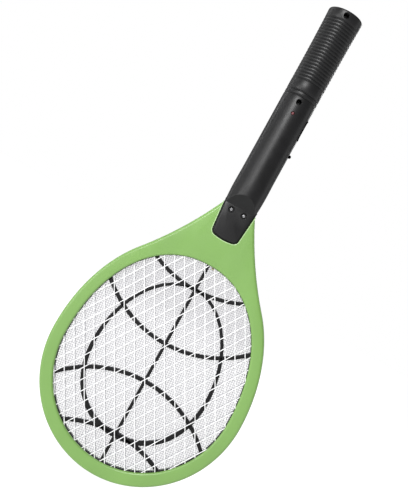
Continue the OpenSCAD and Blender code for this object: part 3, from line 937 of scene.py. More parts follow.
@dataclass
class Tongue:
    """The handle's flat tongue that laps the neck, one on each face."""

    bottom: float = 256.0
    top: float = 292.0
    half_low: float = 13.4
    half_high: float = 16.2
    corner: float = 5.2
    bow: float = 0.8
    back: float = 3.4
    face: float = 6.8
    gap: float = 0.85
    screw_x: float = 6.7
    screw_height: float = 284.8
    recess_radius: float = 2.95
    recess_floor: float = 3.9
    recess_lead_in: float = 0.25
    foot_play: float = 0.05
    foot_height: Pair = (0.3, 0.4)
    # How far below the face each ring of the rounded edge is, and how much the outline grows there.
    edge: tuple[Pair, ...] = ((0.7, -0.55), (0.35, -0.63), (0.12, -0.83), (0.0, -1.15))
    pocket_play: float = 0.1
    pocket_rim: float = 0.45
    bead_place: float = 0.55  # how far outside the pocket's wall the bead's middle is
    bead_radius: float = 0.34
    bead_height: float = 0.16
    bead_foot: Pair = (0.3, 0.2)  # half the width of the bead's sunk foot, and its depth
    bead_top: float = 288.9
    past: float = 1.0  # how far cutters reach beyond the face that they cut
    screw: PanScrew = PanScrew(seat=recess_floor, head=1.9, rise=1.7, long=10.0)

    def outline(self, grow: float) -> list[Pair]:
        """Give the tongue's outline, larger all round by grow.

        Args:
            grow: How much larger it is all round.

        Returns:
            The closed outline as X and height.
        """
        low = self.bottom - grow
        side = self.half_low + grow
        r = self.corner + grow
        right = [(self.half_high + grow, self.top + grow)]
        right += [(side - r + r * math.cos(a), low + r + self.bow + r * math.sin(a))
                  for a in arc(0, -90, 8)]
        inner = side - r
        bottom = [(x * inner, low + self.bow * x * x) for x in (0.75, 0.5, 0.25, 0.0)]
        half = right + bottom
        return half + [(-x, h) for x, h in reversed(half[:-1])]

    def layered(self, layers: Sequence[Pair]) -> Solid:
        """Stack the outline at pairs of a depth and how much larger it is there."""
        return Solid.loft([[(x, depth, h) for x, h in self.outline(grow)] for depth, grow in layers])

    def plate(self) -> Solid:
        """Make the front tongue with rounded edges and a foot that fills its pocket's floor. The foot's
        black is partly the tongue's own seat in the pocket and partly painted shade, so that the gap
        round the tongue shows dark.

        Returns:
            The tongue without its screw recesses.
        """
        foot, (low, high) = self.gap - self.foot_play, self.foot_height
        sides = [(-self.back, foot), (-self.back - low, foot), (-self.back - high, self.edge[0][1])]
        return self.layered(sides + [(-self.face + depth, grow) for depth, grow in self.edge])

    def bead(self, frame_face: float) -> Solid:
        """Make the fine bead round the pocket in the green neck, whose paler green is a painted
        highlight along the pocket's edge.

        Args:
            frame_face: How far the frame's face is from the middle plane.

        Returns:
            The bead of the front pocket.
        """
        loop = self.outline(self.gap + self.bead_place)
        first = next(i for i, p in enumerate(loop) if p[1] < self.bead_top)
        half, sunk = self.bead_foot
        right, left = (loop[0][0] - half, self.bead_top), (loop[-1][0] + half, self.bead_top)
        path = np.array([right, *loop[first:len(loop) - first], left])
        section = [(self.bead_radius * math.cos(a), -frame_face - self.bead_height * math.sin(a))
                   for a in arc(0, 180, 6)]
        section += [(-half, -frame_face + sunk), (half, -frame_face + sunk)]
        return sweep(path, path_normals(path, False), section, False)

    def pocket(self, frame_face: float) -> Solid:
        """Make what the neck loses for the front tongue, with a bevelled rim.

        Args:
            frame_face: How far the frame's face is from the middle plane.

        Returns:
            The solid to cut away.
        """
        rim = self.pocket_rim
        return self.layered([
            (-self.back + self.pocket_play, self.gap),
            (-frame_face + rim, self.gap),
            (-frame_face, self.gap + rim),
            (-frame_face - self.past, self.gap + rim + self.past),
        ])

    def recess(self, x: float) -> Solid:
        """Make the round recess for one neck screw, with a small lead-in.

        Args:
            x: Where the recess is from side to side.

        Returns:
            The solid to cut away.
        """
        r, lead = self.recess_radius, self.recess_lead_in
        return turned(
            [(r, -self.recess_floor), (r, -self.face + lead), (r + lead, -self.face),
             (r + lead + self.past, -self.face - self.past)],
            x, self.screw_height,
        )


@dataclass
class Head:
    """The green frame, the three nets and the two rib spacers."""

    finishes: Finishes
    outline: HeadOutline = field(default_factory=HeadOutline)
    tongue: Tongue = field(default_factory=Tongue)
    half_thickness: float = 6.2
    outer_round: float = 3.0
    inner_round: float = 2.0
    seam: float = 0.14  # how far the two halves' outer edges dip where they meet
    seat: float = 3.4
    ledge: float = 3.4
    guard_depth: float = 2.95
    guard_radius: float = 0.42
    guard_pitch: float = 9.6
    guard_layers: Pair = (0.2, -0.3)
    guard_tuck: float = 2.8  # how far the wires reach under the rim
    guard_wobble: float = 0.16
    guard_seed: int = 11
    guard_sides: int = 10
    lean_left: float = 29.0
    lean_right: float = 33.0
    fine_pitch: float = 1.55
    fine_radius: float = 0.2
    fine_layers: Pair = (-0.15, 0.15)
    fine_lean: float = 45.0
    fine_tuck: float = 1.1
    fine_wobble: float = 0.08
    fine_seed: int = 7
    fine_sides: int = 6
    net_reach: float = 130.0
    rib_depth: Pair = (0.4, 2.4)
    rib_width: float = 3.7
    rib_round: float = 0.8
    rib_radius: float = 112.0
    rib_tuck: float = 1.8
    # The height of each curved rib's middle, and 1 if its hollow side is up or -1 if it is down.
    rib_middles: tuple[tuple[float, int], ...] = ((200.8, 1), (141.8, 1), (101.0, -1), (44.0, -1))
    spine_width: float = 3.1
    spine_ends: Pair = (12.5, 229.5)
    band_inset: float = 0.3
    band_width: float = 3.2
    band_bevel: float = 0.4
    egg_width: float = 2.9
    egg_swell: float = 0.3
    egg_middle: float = 113.0
    egg_half_width: float = 61.6
    egg_reach: Pair = (71.0, 88.5)  # down and up from its middle
    egg_power: Pair = (2.15, 1.94)  # the super-ellipse powers of its lower and upper half

    def build(self) -> None:
        """Build every piece of the head."""
        for side in Side:
            self.frame_half(side)
            self.ribs(side)
            self.guard_net(side)
        self.live_net()

    def frame_half(self, side: Side) -> None:
        """Build one green half, with its round edges, seat for the nets and tongue pocket.

        Args:
            side: Which face it is on.
        """
        t = self.half_thickness
        rings: list[np.ndarray] = []

        def ring(loop: np.ndarray, depth: float) -> None:
            """Add one outline at a depth behind the middle plane."""
            rings.append(np.stack([loop[:, 0], np.full(len(loop), -depth), loop[:, 1]], 1))

        ring(self.outline.outer(-self.seam), 0.0)
        ring(self.outline.outer(0.0), self.seam * 1.5)
        for a in arc(0, 90, 8):
            r = self.outer_round
            ring(self.outline.outer(-r * (1 - math.cos(a))), t - r * (1 - math.sin(a)))
        for a in arc(0, 90, 6):
            r = self.inner_round
            ring(self.outline.opening(r * (1 - math.sin(a))), t - r * (1 - math.cos(a)))
        ring(self.outline.opening(0.0), self.seat)
        ring(self.outline.opening(self.ledge), self.seat)
        ring(self.outline.opening(self.ledge), 0.0)
        section = np.stack(rings, 1)
        solid = Solid.loft(section, True).carved(self.tongue.pocket(t))
        if side is Side.REAR:
            solid = solid.flipped(y=True)
        word = side.name.lower()
        solid.piece(f"frame_{word}", self.finishes["leaf_green"], "green_plastic",
                    f"head_frame_{word}")
        # The bead's paler green is a painted highlight along the pocket's edge.
        bead = self.tongue.bead(t)
        bead = bead if side is Side.FRONT else bead.flipped(y=True)
        bead.piece(f"pocket_edge_{word}", self.finishes["edge_green"], "green_plastic")

    def _lines(self, lean: float, pitch: float, margin: float) -> Iterable[tuple[Pair, Pair]]:
        """Give the ends of parallel lines across the opening that lean left by an angle.

        Args:
            lean: How far the lines lean left, in degrees.
            pitch: The distance between them.
            margin: How far they reach under the rim.
        """
        a = math.radians(lean)
        along = (-math.sin(a), math.cos(a))
        middle = self.outline.opening_middle + (self.outline.opening_up - self.outline.opening_down) / 2
        rows = int(self.net_reach / pitch)
        for k in range(-rows, rows + 1):
            start = (k * pitch * math.cos(a), middle + k * pitch * math.sin(a))
            ends = self.outline.chord(start, along, margin)
            if ends:
                yield ends

    def net(self, depths: Pair, leans: Pair, pitch: float, radius: float, margin: float,
            wobble: float, seed: int, sides: int) -> Solid:
        """Weave two layers of wires that touch where they cross.

        Args:
            depths: Where the two layers lie along Y.
            leans: How far each layer leans left, in degrees.
            pitch: The distance between wires.
            radius: The wires' radius.
            margin: How far the wires reach under the rim.
            wobble: How far a wire strays.
            seed: The seed of the strays.
            sides: How many flats a wire has round.

        Returns:
            All the wires in one solid.
        """
        chance = random.Random(seed)
        wires = []
        for depth, lean in zip(depths, leans):
            for low, high in self._lines(lean, pitch, margin):
                wires.append(wire_tube(
                    Vector((low[0], depth, low[1])), Vector((high[0], depth, high[1])),
                    radius, wobble, chance, sides,
                ))
        shift = 0
        points, faces = [], []
        for wire in wires:
            points.append(wire.points)
            faces += [tuple(i + shift for i in face) for face in wire.faces]
            shift += len(wire.points)
        return Solid(np.vstack(points), faces)

    def guard_net(self, side: Side) -> None:
        """Build one coarse outer net.

        Args:
            side: Which face it is on.
        """
        s = side.value
        depths = tuple(s * (self.guard_depth + layer) for layer in self.guard_layers)
        solid = self.net(depths, (self.lean_left, -self.lean_right), self.guard_pitch,
                         self.guard_radius, self.guard_tuck, self.guard_wobble,
                         self.guard_seed + s, self.guard_sides)
        word = side.name.lower()
        solid.piece(f"guard_net_{word}", self.finishes["guard_wire"], "guard_wire",
                    f"{word}_guard_net")

    def live_net(self) -> None:
        """Build the fine inner net."""
        solid = self.net(self.fine_layers, (self.fine_lean, -self.fine_lean), self.fine_pitch,
                         self.fine_radius, self.fine_tuck, self.fine_wobble, self.fine_seed,
                         self.fine_sides)
        solid.piece("fine_net", self.finishes["inner_wire"], "inner_wire", "live_net")

    def _bar(self, width: float) -> list[Pair]:
        """Give a rib's rounded section as offsets and depths in front of the middle.

        Args:
            width: The rib's width.

        Returns:
            The section's points.
        """
        near, far = self.rib_depth
        half, r = width / 2, self.rib_round
        corners = [(half - r, -far + r, 270), (half - r, -near - r, 0), (-half + r, -near - r, 90),
                   (-half + r, -far + r, 180)]
        return [(x + r * math.cos(a), y + r * math.sin(a))
                for x, y, start in corners for a in arc(start, start + 90, 4)]

    def _arc_rib(self, height: float, up: int) -> Solid:
        """Build a curved rib whose middle is at a height, hollow side up for 1 and down for -1.

        Args:
            height: The height of its middle.
            up: 1 if its hollow side is up, -1 if it is down.

        Returns:
            The rib.
        """
        centre = height + up * self.rib_radius
        room = self.outline.opening(self.rib_tuck)
        wall = room[room[:, 0] > 0]
        wall = wall[np.argsort(wall[:, 1])]
        reach = 0.0
        for a in arc(0, 60, 240):
            x, h = self.rib_radius * math.sin(a), centre - up * self.rib_radius * math.cos(a)
            if x > np.interp(h, wall[:, 1], wall[:, 0]):
                break
            reach = a
        turns = np.linspace(-reach, reach, 49)
        path = np.stack([self.rib_radius * np.sin(turns),
                         centre - up * self.rib_radius * np.cos(turns)], 1)
        return sweep(path, path_normals(path, False), self._bar(self.rib_width), False)

    def _egg(self) -> Solid:
        """Build the egg-shaped rib, which widens from its top to its bottom.

        Returns:
            The closed rib.
        """
        points, widths = [], []
        for a in arc(0, 358, 179):
            half = 1 if a < math.pi else 0
            power = 2 / self.egg_power[half]
            c, s = math.cos(a), math.sin(a)
            reach = self.egg_reach[half]
            points.append((self.egg_half_width * math.copysign(abs(c) ** power, c),
                           self.egg_middle + reach * math.copysign(abs(s) ** power, s)))
            widths.append(self.egg_width * (1 + self.egg_swell * (1 - s)))
        path = np.array(points)
        return Solid.loft([
            [(p[0] + n[0] * side, depth, p[1] + n[1] * side) for side, depth in self._bar(width)]
            for p, n, width in zip(path, path_normals(path, True), widths)
        ], True)

    def ribs(self, side: Side) -> None:
        """Build one black spacer: rim band, spine, egg-shaped rib and four curved ribs.

        Args:
            side: Which face it is on.
        """
        near, far = self.rib_depth
        edge = self.outline.opening(-self.band_inset)
        bevel, wide = self.band_bevel, self.band_width
        band = sweep(edge, path_normals(edge, True),
                     [(0.0, -near), (0.0, -far + bevel), (bevel, -far), (wide, -far),
                      (wide, -near)], True)
        spine_path = np.array([(0.0, h) for h in np.linspace(*self.spine_ends, 40)])
        spine = sweep(spine_path, path_normals(spine_path, False), self._bar(self.spine_width), False)
        solid = band + spine + self._egg()
        for height, up in self.rib_middles:
            solid = solid + self._arc_rib(height, up)
        if side is Side.REAR:
            solid = solid.flipped(y=True)
        word = side.name.lower()
        solid.piece(f"ribs_{word}", self.finishes["rib_black"], "black_plastic",
                    f"{word}_spacer_ribs")


# ---------------------------------------------------------------------------
# Handle
# ---------------------------------------------------------------------------


@dataclass
class Handle:
    """The two shells, the sliding battery cover and what shows on them."""

    finishes: Finishes
    tongue: Tongue = field(default_factory=Tongue)
    radius: float = 17.0
    wall: float = 2.7
    butt_radius: float = 17.8
    butt_edge: float = 1.7
    bottom: float = 289.3
    top: float = 500.0
    flare_start: float = 440.0
    swell_height: float = 310.0  # where the handle is a little thicker above the facets
    swell_length: float = 20.0
    swell_curve: float = 0.002
    swell: float = 0.25
    facet_top: float = 302.0
    wedge_reach: float = 40.0
    grooves: int = 21
    first_groove: float = 424.4
    groove_pitch: float = 3.25
    groove_depth: float = 0.85
    groove_width: float = 1.6
    groove_blend: float = 0.12
    groove_power: float = 0.8
    # Where a groove's profile has points, from -1 at its lower edge to 1 at its upper edge.
    groove_steps: tuple[float, ...] = (-1.0, -0.86, -0.62, -0.3, 0.0, 0.3, 0.62, 0.86, 1.0)
    plain_top: float = 404.0  # where the smooth stretch below the grooves ends
    plain_step: float = 4.0
    collar_grooves: Pair = (408.4, 412.9)
    cover_bottom: float = 416.0
    cover_inner: float = 14.8
    ledge_radius: float = 14.5
    dovetail: tuple[Pair, Pair] = ((12.0, 1.42), (19.0, 8.05))  # X and Y of two points on its line
    bay: Pair = (422.7, 479.9)
    bay_wall: float = 2.5
    lip: float = 12.9  # the inner radius of the short ledges beyond the bay
    lip_length: float = 5.0
    inner_floor: float = 303.3
    inner_top: float = 497.5
    screw_heights: Pair = (402.6, 494.8)
    screw_hole: float = 2.6
    hole_floor: float = 8.0
    hole_lead_in: Pair = (0.5, 0.45)  # how much wider the mouth is, and how deep it starts
    hole_mouth: float = 0.15
    well_radius: float = 4.25
    well_bore: float = 1.6
    well_floor: float = 9.0
    well_clear: float = 0.1
    deep_screw: PanScrew = PanScrew(seat=well_floor, head=2.4, rise=1.8, long=19.0)
    lamp_height: float = 390.7
    lamp_radius: float = 1.5
    lamp_play: float = 0.12
    lamp_sink: float = 1.2
    lamp_flange: float = 1.95
    lamp_depths: Pair = (13.2, 14.0)  # where its flange starts and ends
    button_height: float = 383.0
    button_length: float = 20.7
    button_width: float = 12.0
    button_gap: float = 0.8
    button_rise: float = 0.9
    button_corner: float = 2.1
    button_least_corner: float = 0.25
    button_root: float = 11.6
    button_dip: float = 1.2
    scoop_radius: float = 45.0
    # How far below the face each ring of the rounded edge is, and how far inside the outline.
    button_edge: tuple[Pair, ...] = ((0.9, 0.0), (0.45, 0.03), (0.2, 0.14), (0.06, 0.32), (0.0, 0.6))
    button_insets: tuple[float, ...] = (1.2, 2.0, 3.0, 4.0, 5.0, 5.7)
    flange_top: float = 13.0
    flange_half: float = 3.6
    flange_past: float = 2.0
    flange_corner: float = 1.0
    slot_corner: float = 2.4
    nub_height: float = 355.8
    nub_length: float = 3.2
    nub_rise: float = 2.2
    nub_half: float = 1.5
    nub_corner: float = 0.6
    nub_rounding: float = 0.7
    nub_root: float = 11.8
    switch_travel: float = 3.0
    gap: float = 0.3
    slot_sections: Pair = (8.0, 14.8)
    slot_lead_in: Pair = (0.4, 0.3)
    notches: tuple[Pair, ...] = ((418.2, 6.0), (420.8, 4.5))  # each one's height and half width
    notch_half: float = 0.5
    notch_corner: float = 0.3
    notch_layers: tuple[Pair, ...] = ((0.5, -0.1), (0.3, 0.1))
    notch_mouth: float = 0.35
    shell_seam: float = 0.16
    rail_seam: float = 0.1
    cover_seam: float = 0.18
    sunk: float = 0.3  # how far inner walls run into the shell
    outside: float = 30.0  # a distance from the axis that is outside the handle
    steps: int = 56

    def build(self) -> None:
        """Build every visible piece of the handle."""
        self.front_shell()
        self.rear_shell()
        self.battery_cover()
        self.thumb_button()
        self.switch_nub()
        self.lamp()
        self.screws()

    def outer_radius(self, h: float) -> float:
        """Give the handle's radius at a height, without its grooves.

        Args:
            h: The height.

        Returns:
            The radius.
        """
        if h < self.swell_height:
            return self.radius + self.swell - self.swell_curve * (self.swell_height - h) ** 2
        if h < self.swell_height + self.swell_length:
            wave = math.cos(math.pi * (h - self.swell_height) / self.swell_length)
            return self.radius + self.swell * (1 + wave) / 2
        if h < self.flare_start:
            return self.radius
        share = (h - self.flare_start) / (self.top - self.flare_start)
        return self.radius + (self.butt_radius - self.radius) * share ** 2

    def outer_profile(self, low: float, high: float) -> list[Pair]:
        """Give the outside between two heights, with round-bottomed grooves and a rounded butt.

        Args:
            low: Where the profile starts.
            high: Where it ends.

        Returns:
            Pairs of radius and height.
        """
        centres = [*self.collar_grooves,
                   *(self.first_groove + k * self.groove_pitch for k in range(self.grooves))]
        plain = np.arange(self.bottom, self.plain_top, self.plain_step)
        profile = [(self.outer_radius(h), h) for h in plain]
        for centre in centres:
            for step in self.groove_steps:
                h = centre + step * (self.groove_width / 2 + self.groove_blend)
                wave = 1 + math.cos(math.pi * step)
                dip = 0.5 * wave ** self.groove_power * self.groove_depth
                profile.append((self.outer_radius(h) - dip, h))
        edge = self.butt_edge
        for a in arc(0, 90, 7):
            profile.append((self.butt_radius - edge * (1 - math.cos(a)),
                            self.top - edge * (1 - math.sin(a))))
        inside = [p for p in profile if low < p[1] < high]
        last = (self.outer_radius(high), high) if high < self.top else (profile[-1][0], self.top)
        return [(self.outer_radius(low), low), *inside, last]

    def revolved(self, outer: Sequence[Pair], inner: Sequence[Pair],
                 span: Callable[[float], Pair], seam: float) -> Solid:
        """Turn a closed profile part of the way round the handle.

        Args:
            outer: The outside, as radius and height, going up.
            inner: The inside, going down.
            span: Gives the first and last angle in degrees at a radius.
            seam: How far the outside dips at both edges, so that the joint shows as a fine groove.

        Returns:
            The closed solid.
        """
        # Close steps at both edges give the fine groove its shape.
        fine = [0.0, 0.004, 0.009]
        shares = fine + list(np.linspace(0.02, 0.98, self.steps)) + [1 - s for s in reversed(fine)]
        dips = {0.0: seam, 0.004: seam * 0.3, 0.996: seam * 0.3, 1.0: seam}
        rings = []
        for share in shares:
            dip = dips.get(round(share, 3), 0.0)
            ring = []
            for r, h in [(max(r - dip, 0.0), h) for r, h in outer] + list(inner):
                first, last = span(r)
                a = math.radians(first + (last - first) * share)
                ring.append((r * math.cos(a), r * math.sin(a), h))
            rings.append(ring)
        return Solid.loft(rings)

    def half(self, side: Side) -> Callable[[float], Pair]:
        """Give the angles of the front or the rear half."""
        return (lambda r: (180.0, 360.0)) if side is Side.FRONT else (lambda r: (0.0, 180.0))

    def edge_angle(self, r: float, shift: float) -> float:
        """Give the angle at which the slanting dovetail line crosses a radius.

        Args:
            r: The radius.
            shift: How far the line is moved inwards and towards the rear.

        Returns:
            The angle in degrees.
        """
        (x0, y0), (x1, y1) = self.dovetail
        x0, x1, y0, y1 = x0 - shift, x1 - shift, y0 + shift, y1 + shift
        dx, dy = x1 - x0, y1 - y0
        a, b, c = dx * dx + dy * dy, x0 * dx + y0 * dy, x0 * x0 + y0 * y0 - r * r
        t = (-b + math.sqrt(max(b * b - a * c, 0.0))) / a
        return math.degrees(math.atan2(y0 + t * dy, x0 + t * dx))

    def facets(self) -> list[Solid]:
        """Make the two wedges that slope the handle down to the tongues.

        Returns:
            The front and the rear wedge, to cut away.
        """
        face, far = self.tongue.face, self.wedge_reach
        low, high = self.bottom - 1, self.facet_top + 1
        wedge = [(-face, low), (-face, self.bottom), (-self.radius - 1, high), (-far, high),
                 (-far, low)]
        front = Solid.loft([[(x, y, h) for y, h in wedge] for x in (-far, far)])
        return [front, front.flipped(y=True)]

    def side_slots(self) -> list[Solid]:
        """Make the openings for the thumb button and the switch nub, with a small lead-in.

        Returns:
            The two solids to cut away.
        """
        slots = []
        floor, neck = self.slot_sections
        past, wider = self.slot_lead_in
        sections = ((floor, 0.0), (neck, 0.0), (self.radius + past, wider), (self.outside, wider))
        for height, half_h, half_y, corner in (
            (self.button_height, self.button_length / 2 + self.button_gap,
             self.button_width / 2 + self.gap, self.slot_corner),
            (self.nub_height + self.switch_travel / 2,
             (self.nub_length + self.switch_travel) / 2 + self.gap,
             self.nub_half + self.gap, self.nub_corner),
        ):
            rings = []
            for x, grow in sections:
                rings.append([(x, y, height + h)
                              for y, h in rounded_box(half_y + grow, half_h + grow, corner)])
            slots.append(Solid.loft(rings))
        return slots

    def lead_in_hole(self, height: float, radius: float, floor: float) -> Solid:
        """Make a round hole into the front with a small lead-in at the surface.

        Args:
            height: How high the hole is.
            radius: The hole's radius.
            floor: How far its floor is from the handle's axis.

        Returns:
            The solid to cut away.
        """
        wider, depth = self.hole_lead_in
        mouth = radius + wider
        return turned([(radius, -floor), (radius, -self.radius + depth),
                       (mouth, -self.radius - self.hole_mouth), (mouth, -self.outside)], 0.0, height)

    def front_shell(self) -> None:
        """Build the front shell with its tongue, screw wells and lamp hole."""
        inner = self.radius - self.wall
        shell = self.revolved(
            self.outer_profile(self.bottom, self.top),
            [(0, self.top), (0, self.inner_top), (inner, self.inner_top),
             (inner, self.inner_floor), (0, self.inner_floor), (0, self.bottom)],
            self.half(Side.FRONT), self.shell_seam,
        )
        holes = [self.lead_in_hole(h, self.screw_hole, self.hole_floor) for h in self.screw_heights]
        holes.append(self.lead_in_hole(self.lamp_height, self.lamp_radius + self.lamp_play,
                                       self.hole_floor))
        solid = shell.carved(*self.facets(), *self.side_slots(), *holes)
        solid = solid + self.tongue.plate().carved(
            *(self.tongue.recess(x) for x in (-self.tongue.screw_x, self.tongue.screw_x)))
        for h in self.screw_heights:
            solid = solid + self.screw_well(h)
        wall, r = self.bay_wall, inner + self.sunk
        for low in (self.bay[0] - wall, self.bay[1]):
            solid = solid + self.revolved([(r, low), (r, low + wall)],
                                          [(0, low + wall), (0, low)], self.half(Side.FRONT), 0.0)
        solid.piece("handle_front", self.finishes["satin_black"], "handle_plastic",
                    "handle_front_shell")

    def screw_well(self, height: float, flats: int = 32) -> Solid:
        """Make the tube that leads to one handle screw, narrower below the screw's head.

        Args:
            height: How high the tube is.
            flats: How many flats it has round.

        Returns:
            The tube, open at both ends.
        """
        boss, hole, bore = self.well_radius, self.screw_hole, self.well_bore
        mouth = self.radius - self.wall + 0.4
        profile = [(boss, -self.well_clear), (boss, -mouth), (hole, -mouth), (hole, -self.well_floor),
                   (bore, -self.well_floor), (bore, -self.well_clear)]
        well = turned(profile, 0.0, height, flats)
        last = flats * (len(profile) - 1)
        well.faces = well.faces[:-2] + [(last + k, last + (k + 1) % flats, (k + 1) % flats, k)
                                        for k in range(flats)]
        return well

    def rear_shell(self) -> None:
        """Build the rear shell: lower tube, rails beside the battery cover, walls of the bay."""
        inner = self.radius - self.wall
        split = self.cover_bottom
        tube = self.revolved(
            self.outer_profile(self.bottom, split),
            [(inner, split), (inner, self.inner_floor), (0, self.inner_floor), (0, self.bottom)],
            self.half(Side.REAR), self.shell_seam,
        )
        solid = tube.carved(*self.facets(), *self.side_slots())
        solid = solid + self.tongue.plate().flipped(y=True)
        rail = self.revolved(self.outer_profile(split, self.top), [(inner, self.top), (inner, split)],
                             lambda r: (0.0, self.edge_angle(r, 0.0)), self.rail_seam)
        solid = solid + rail + rail.flipped(x=True)
        r, lip, wall = self.ledge_radius, self.lip, self.bay_wall
        start, end = self.bay
        for low, high, hollow in (
            (split - self.lip_length, start, lip), (start - wall, start, 0.0),
            (end, end + wall, 0.0), (end, self.top, lip), (self.inner_top, self.top, 0.0),
        ):
            solid = solid + self.revolved([(r, low), (r, high)], [(hollow, high), (hollow, low)],
                                          self.half(Side.REAR), 0.0)
        solid.piece("handle_rear", self.finishes["satin_black"], "handle_plastic",
                    "handle_rear_shell")

    def battery_cover(self) -> None:
        """Build the sliding cover with its grooves and two finger notches."""
        low = self.cover_bottom + self.gap
        solid = self.revolved(
            self.outer_profile(low, self.top), [(self.cover_inner, self.top), (self.cover_inner, low)],
            lambda r: (self.edge_angle(r, self.gap), 180 - self.edge_angle(r, self.gap)),
            self.cover_seam)
        cuts = []
        layers = [(self.radius - sunk, grow) for sunk, grow in self.notch_layers]
        layers.append((self.outside, self.notch_mouth))
        for h, half in self.notches:
            cuts.append(Solid.loft([
                [(x, depth, h + up)
                 for x, up in rounded_box(half + grow, self.notch_half + grow, self.notch_corner)]
                for depth, grow in layers
            ]))
        solid = solid.carved(*cuts)
        solid.piece("cover_rear", self.finishes["satin_black"], "handle_plastic", "battery_cover",
                    "battery_cover")

    def thumb_button(self) -> None:
        """Build the scooped thumb button with its hidden flange and foot."""
        face, scoop = self.radius + self.button_rise, self.scoop_radius
        half_y, half_h = self.button_width / 2, self.button_length / 2

        def surface(y: float, h: float) -> float:
            """Give the button's outer surface as a distance along X.

            Args:
                y: The depth along Y.
                h: The height above the button's middle.

            Returns:
                The distance along X.
            """
            hollow = max(0.0, self.button_dip - scoop + math.sqrt(scoop * scoop - h * h))
            return math.sqrt(face * face - y * y) - hollow

        root = rounded_box(half_y, half_h, self.button_corner)
        rings = [[(self.button_root, y, self.button_height + h) for y, h in root]]
        for drop, inset in (*self.button_edge, *((0.0, inset) for inset in self.button_insets)):
            corner = max(self.button_corner - inset, self.button_least_corner)
            loop = rounded_box(half_y - inset, half_h - inset, corner)
            rings.append([(surface(y, h) - drop, y, self.button_height + h) for y, h in loop])
        loop = rounded_box(self.flange_half, half_h + self.flange_past, self.flange_corner)
        flange = [[(x, y, self.button_height + h) for y, h in loop]
                  for x in (self.button_root, self.flange_top)]
        solid = Solid.loft(rings) + Solid.loft(flange)
        # The cap's near-black, almost sheenless finish is partly painted shade.
        solid.piece("button_cap", self.finishes["button_black"], "gloss_black_plastic",
                    "thumb_button", "thumb_button")

    def switch_nub(self) -> None:
        """Build the power switch's small rounded nub."""
        half_y, half_h = self.nub_half, self.nub_length / 2
        dome = self.radius + self.nub_rise - half_h
        root = rounded_box(half_y, half_h, self.nub_corner)
        rings = [[(self.nub_root, y, self.nub_height + h) for y, h in root]]
        for a in arc(0, 78, 7):
            flat = math.cos(a)
            corner = (self.nub_corner + self.nub_rounding * math.sin(a)) * flat
            loop = rounded_box(half_y * flat, half_h * flat, corner)
            rings.append([(dome + half_h * math.sin(a), y, self.nub_height + h) for y, h in loop])
        Solid.loft(rings).piece("switch_nub", self.finishes["button_black"], "gloss_black_plastic",
                                "power_switch_knob", "power_switch")

    def lamp(self) -> None:
        """Build the lamp's lens: flange, barrel and dome."""
        r, crown, flange = self.lamp_radius, self.radius - self.lamp_sink, self.lamp_flange
        near, far = self.lamp_depths
        profile = [(flange, -near), (flange, -far), (r, -far), (r, -crown)]
        profile += [(r * math.cos(a), -crown - r * math.sin(a)) for a in arc(12, 84, 6)]
        turned(profile, 0.0, self.lamp_height, 40).piece(
            "lamp_lens", self.finishes["red_lens"], "red_lens", "indicator_led")

    def screws(self) -> None:
        """Build the two neck screws and the two deep handle screws."""
        t = self.tongue
        neck = [t.screw.solid(x, t.screw_height) for x in (-t.screw_x, t.screw_x)]
        (neck[0] + neck[1]).piece("screws_neck", self.finishes["screw_plating"], "screw_steel",
                                  "neck_screws")
        # The deep screws' near-black finish is painted shade of their holes.
        deep = [self.deep_screw.solid(0.0, h) for h in self.screw_heights]
        (deep[0] + deep[1]).piece("screws_handle", self.finishes["screw_black"], "screw_steel",
                                  "handle_screws")


# ---------------------------------------------------------------------------
# What lies inside
# ---------------------------------------------------------------------------


@dataclass
class Inside:
    """The CAD nodes that keep their shape and get a finish."""

    finishes: Finishes
    dress: dict[str, str] = field(default_factory=lambda: {
        "ground_contact_strip": "contact_strip",
        "live_contact_strip": "contact_strip",
        "push_switch_body": "rib_black",
        "push_switch_plunger": "off_white",
        "power_switch_body": "rib_black",
        "led_leads": "spring_steel",
        "circuit_board": "printed_board",
        "board_screws": "screw_plating",
        "transformer_core": "ferrite_grey",
        "transformer_bobbin": "off_white",
        "transformer_winding": "enamel_winding",
        "storage_capacitor": "brown_coat",
        "doubler_capacitors": "orange_coat",
        "oscillator_transistor": "rib_black",
        "rectifier_diodes": "rib_black",
        "board_resistors": "resistor_bands",
        "battery_cell_left": "cell_jacket",
        "battery_cell_right": "cell_jacket",
        "battery_springs": "spring_steel",
        "bridge_contact": "spring_steel",
        "negative_contact": "spring_steel",
        "positive_contact": "spring_steel",
        "battery_lead_positive": "red_insulation",
        "battery_lead_negative": "black_insulation",
        "live_net_lead": "red_insulation",
        "guard_net_lead": "black_insulation",
    })

    def build(self) -> None:
        """Give every kept node its finish."""
        for node, finish in self.dress.items():
            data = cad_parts[node].data
            data.materials.clear()
            data.materials.append(self.finishes[finish])
            log.info("dressed %s in %s", node, finish)


# ---------------------------------------------------------------------------
# Studio
# ---------------------------------------------------------------------------


@dataclass(frozen=True)
class SoftLight:
    """A rectangular light: its place, width and height in metres, and its power in watts."""

    name: str
    place: Triple
    size: Pair
    power: float

    def build(self, aim: Triple) -> None:
        """Add the light.

        Args:
            aim: The place that it faces, in metres.
        """
        data = bpy.data.lights.new(self.name, "AREA")
        data.shape = "RECTANGLE"
        data.size, data.size_y = self.size
        data.energy = self.power
        item = bpy.data.objects.new(self.name, data)
        item.location = self.place
        item.rotation_mode = "QUATERNION"
        item.rotation_quaternion = (Vector(aim) - Vector(self.place)).to_track_quat("-Z", "Y")
        bpy.context.scene.collection.objects.link(item)


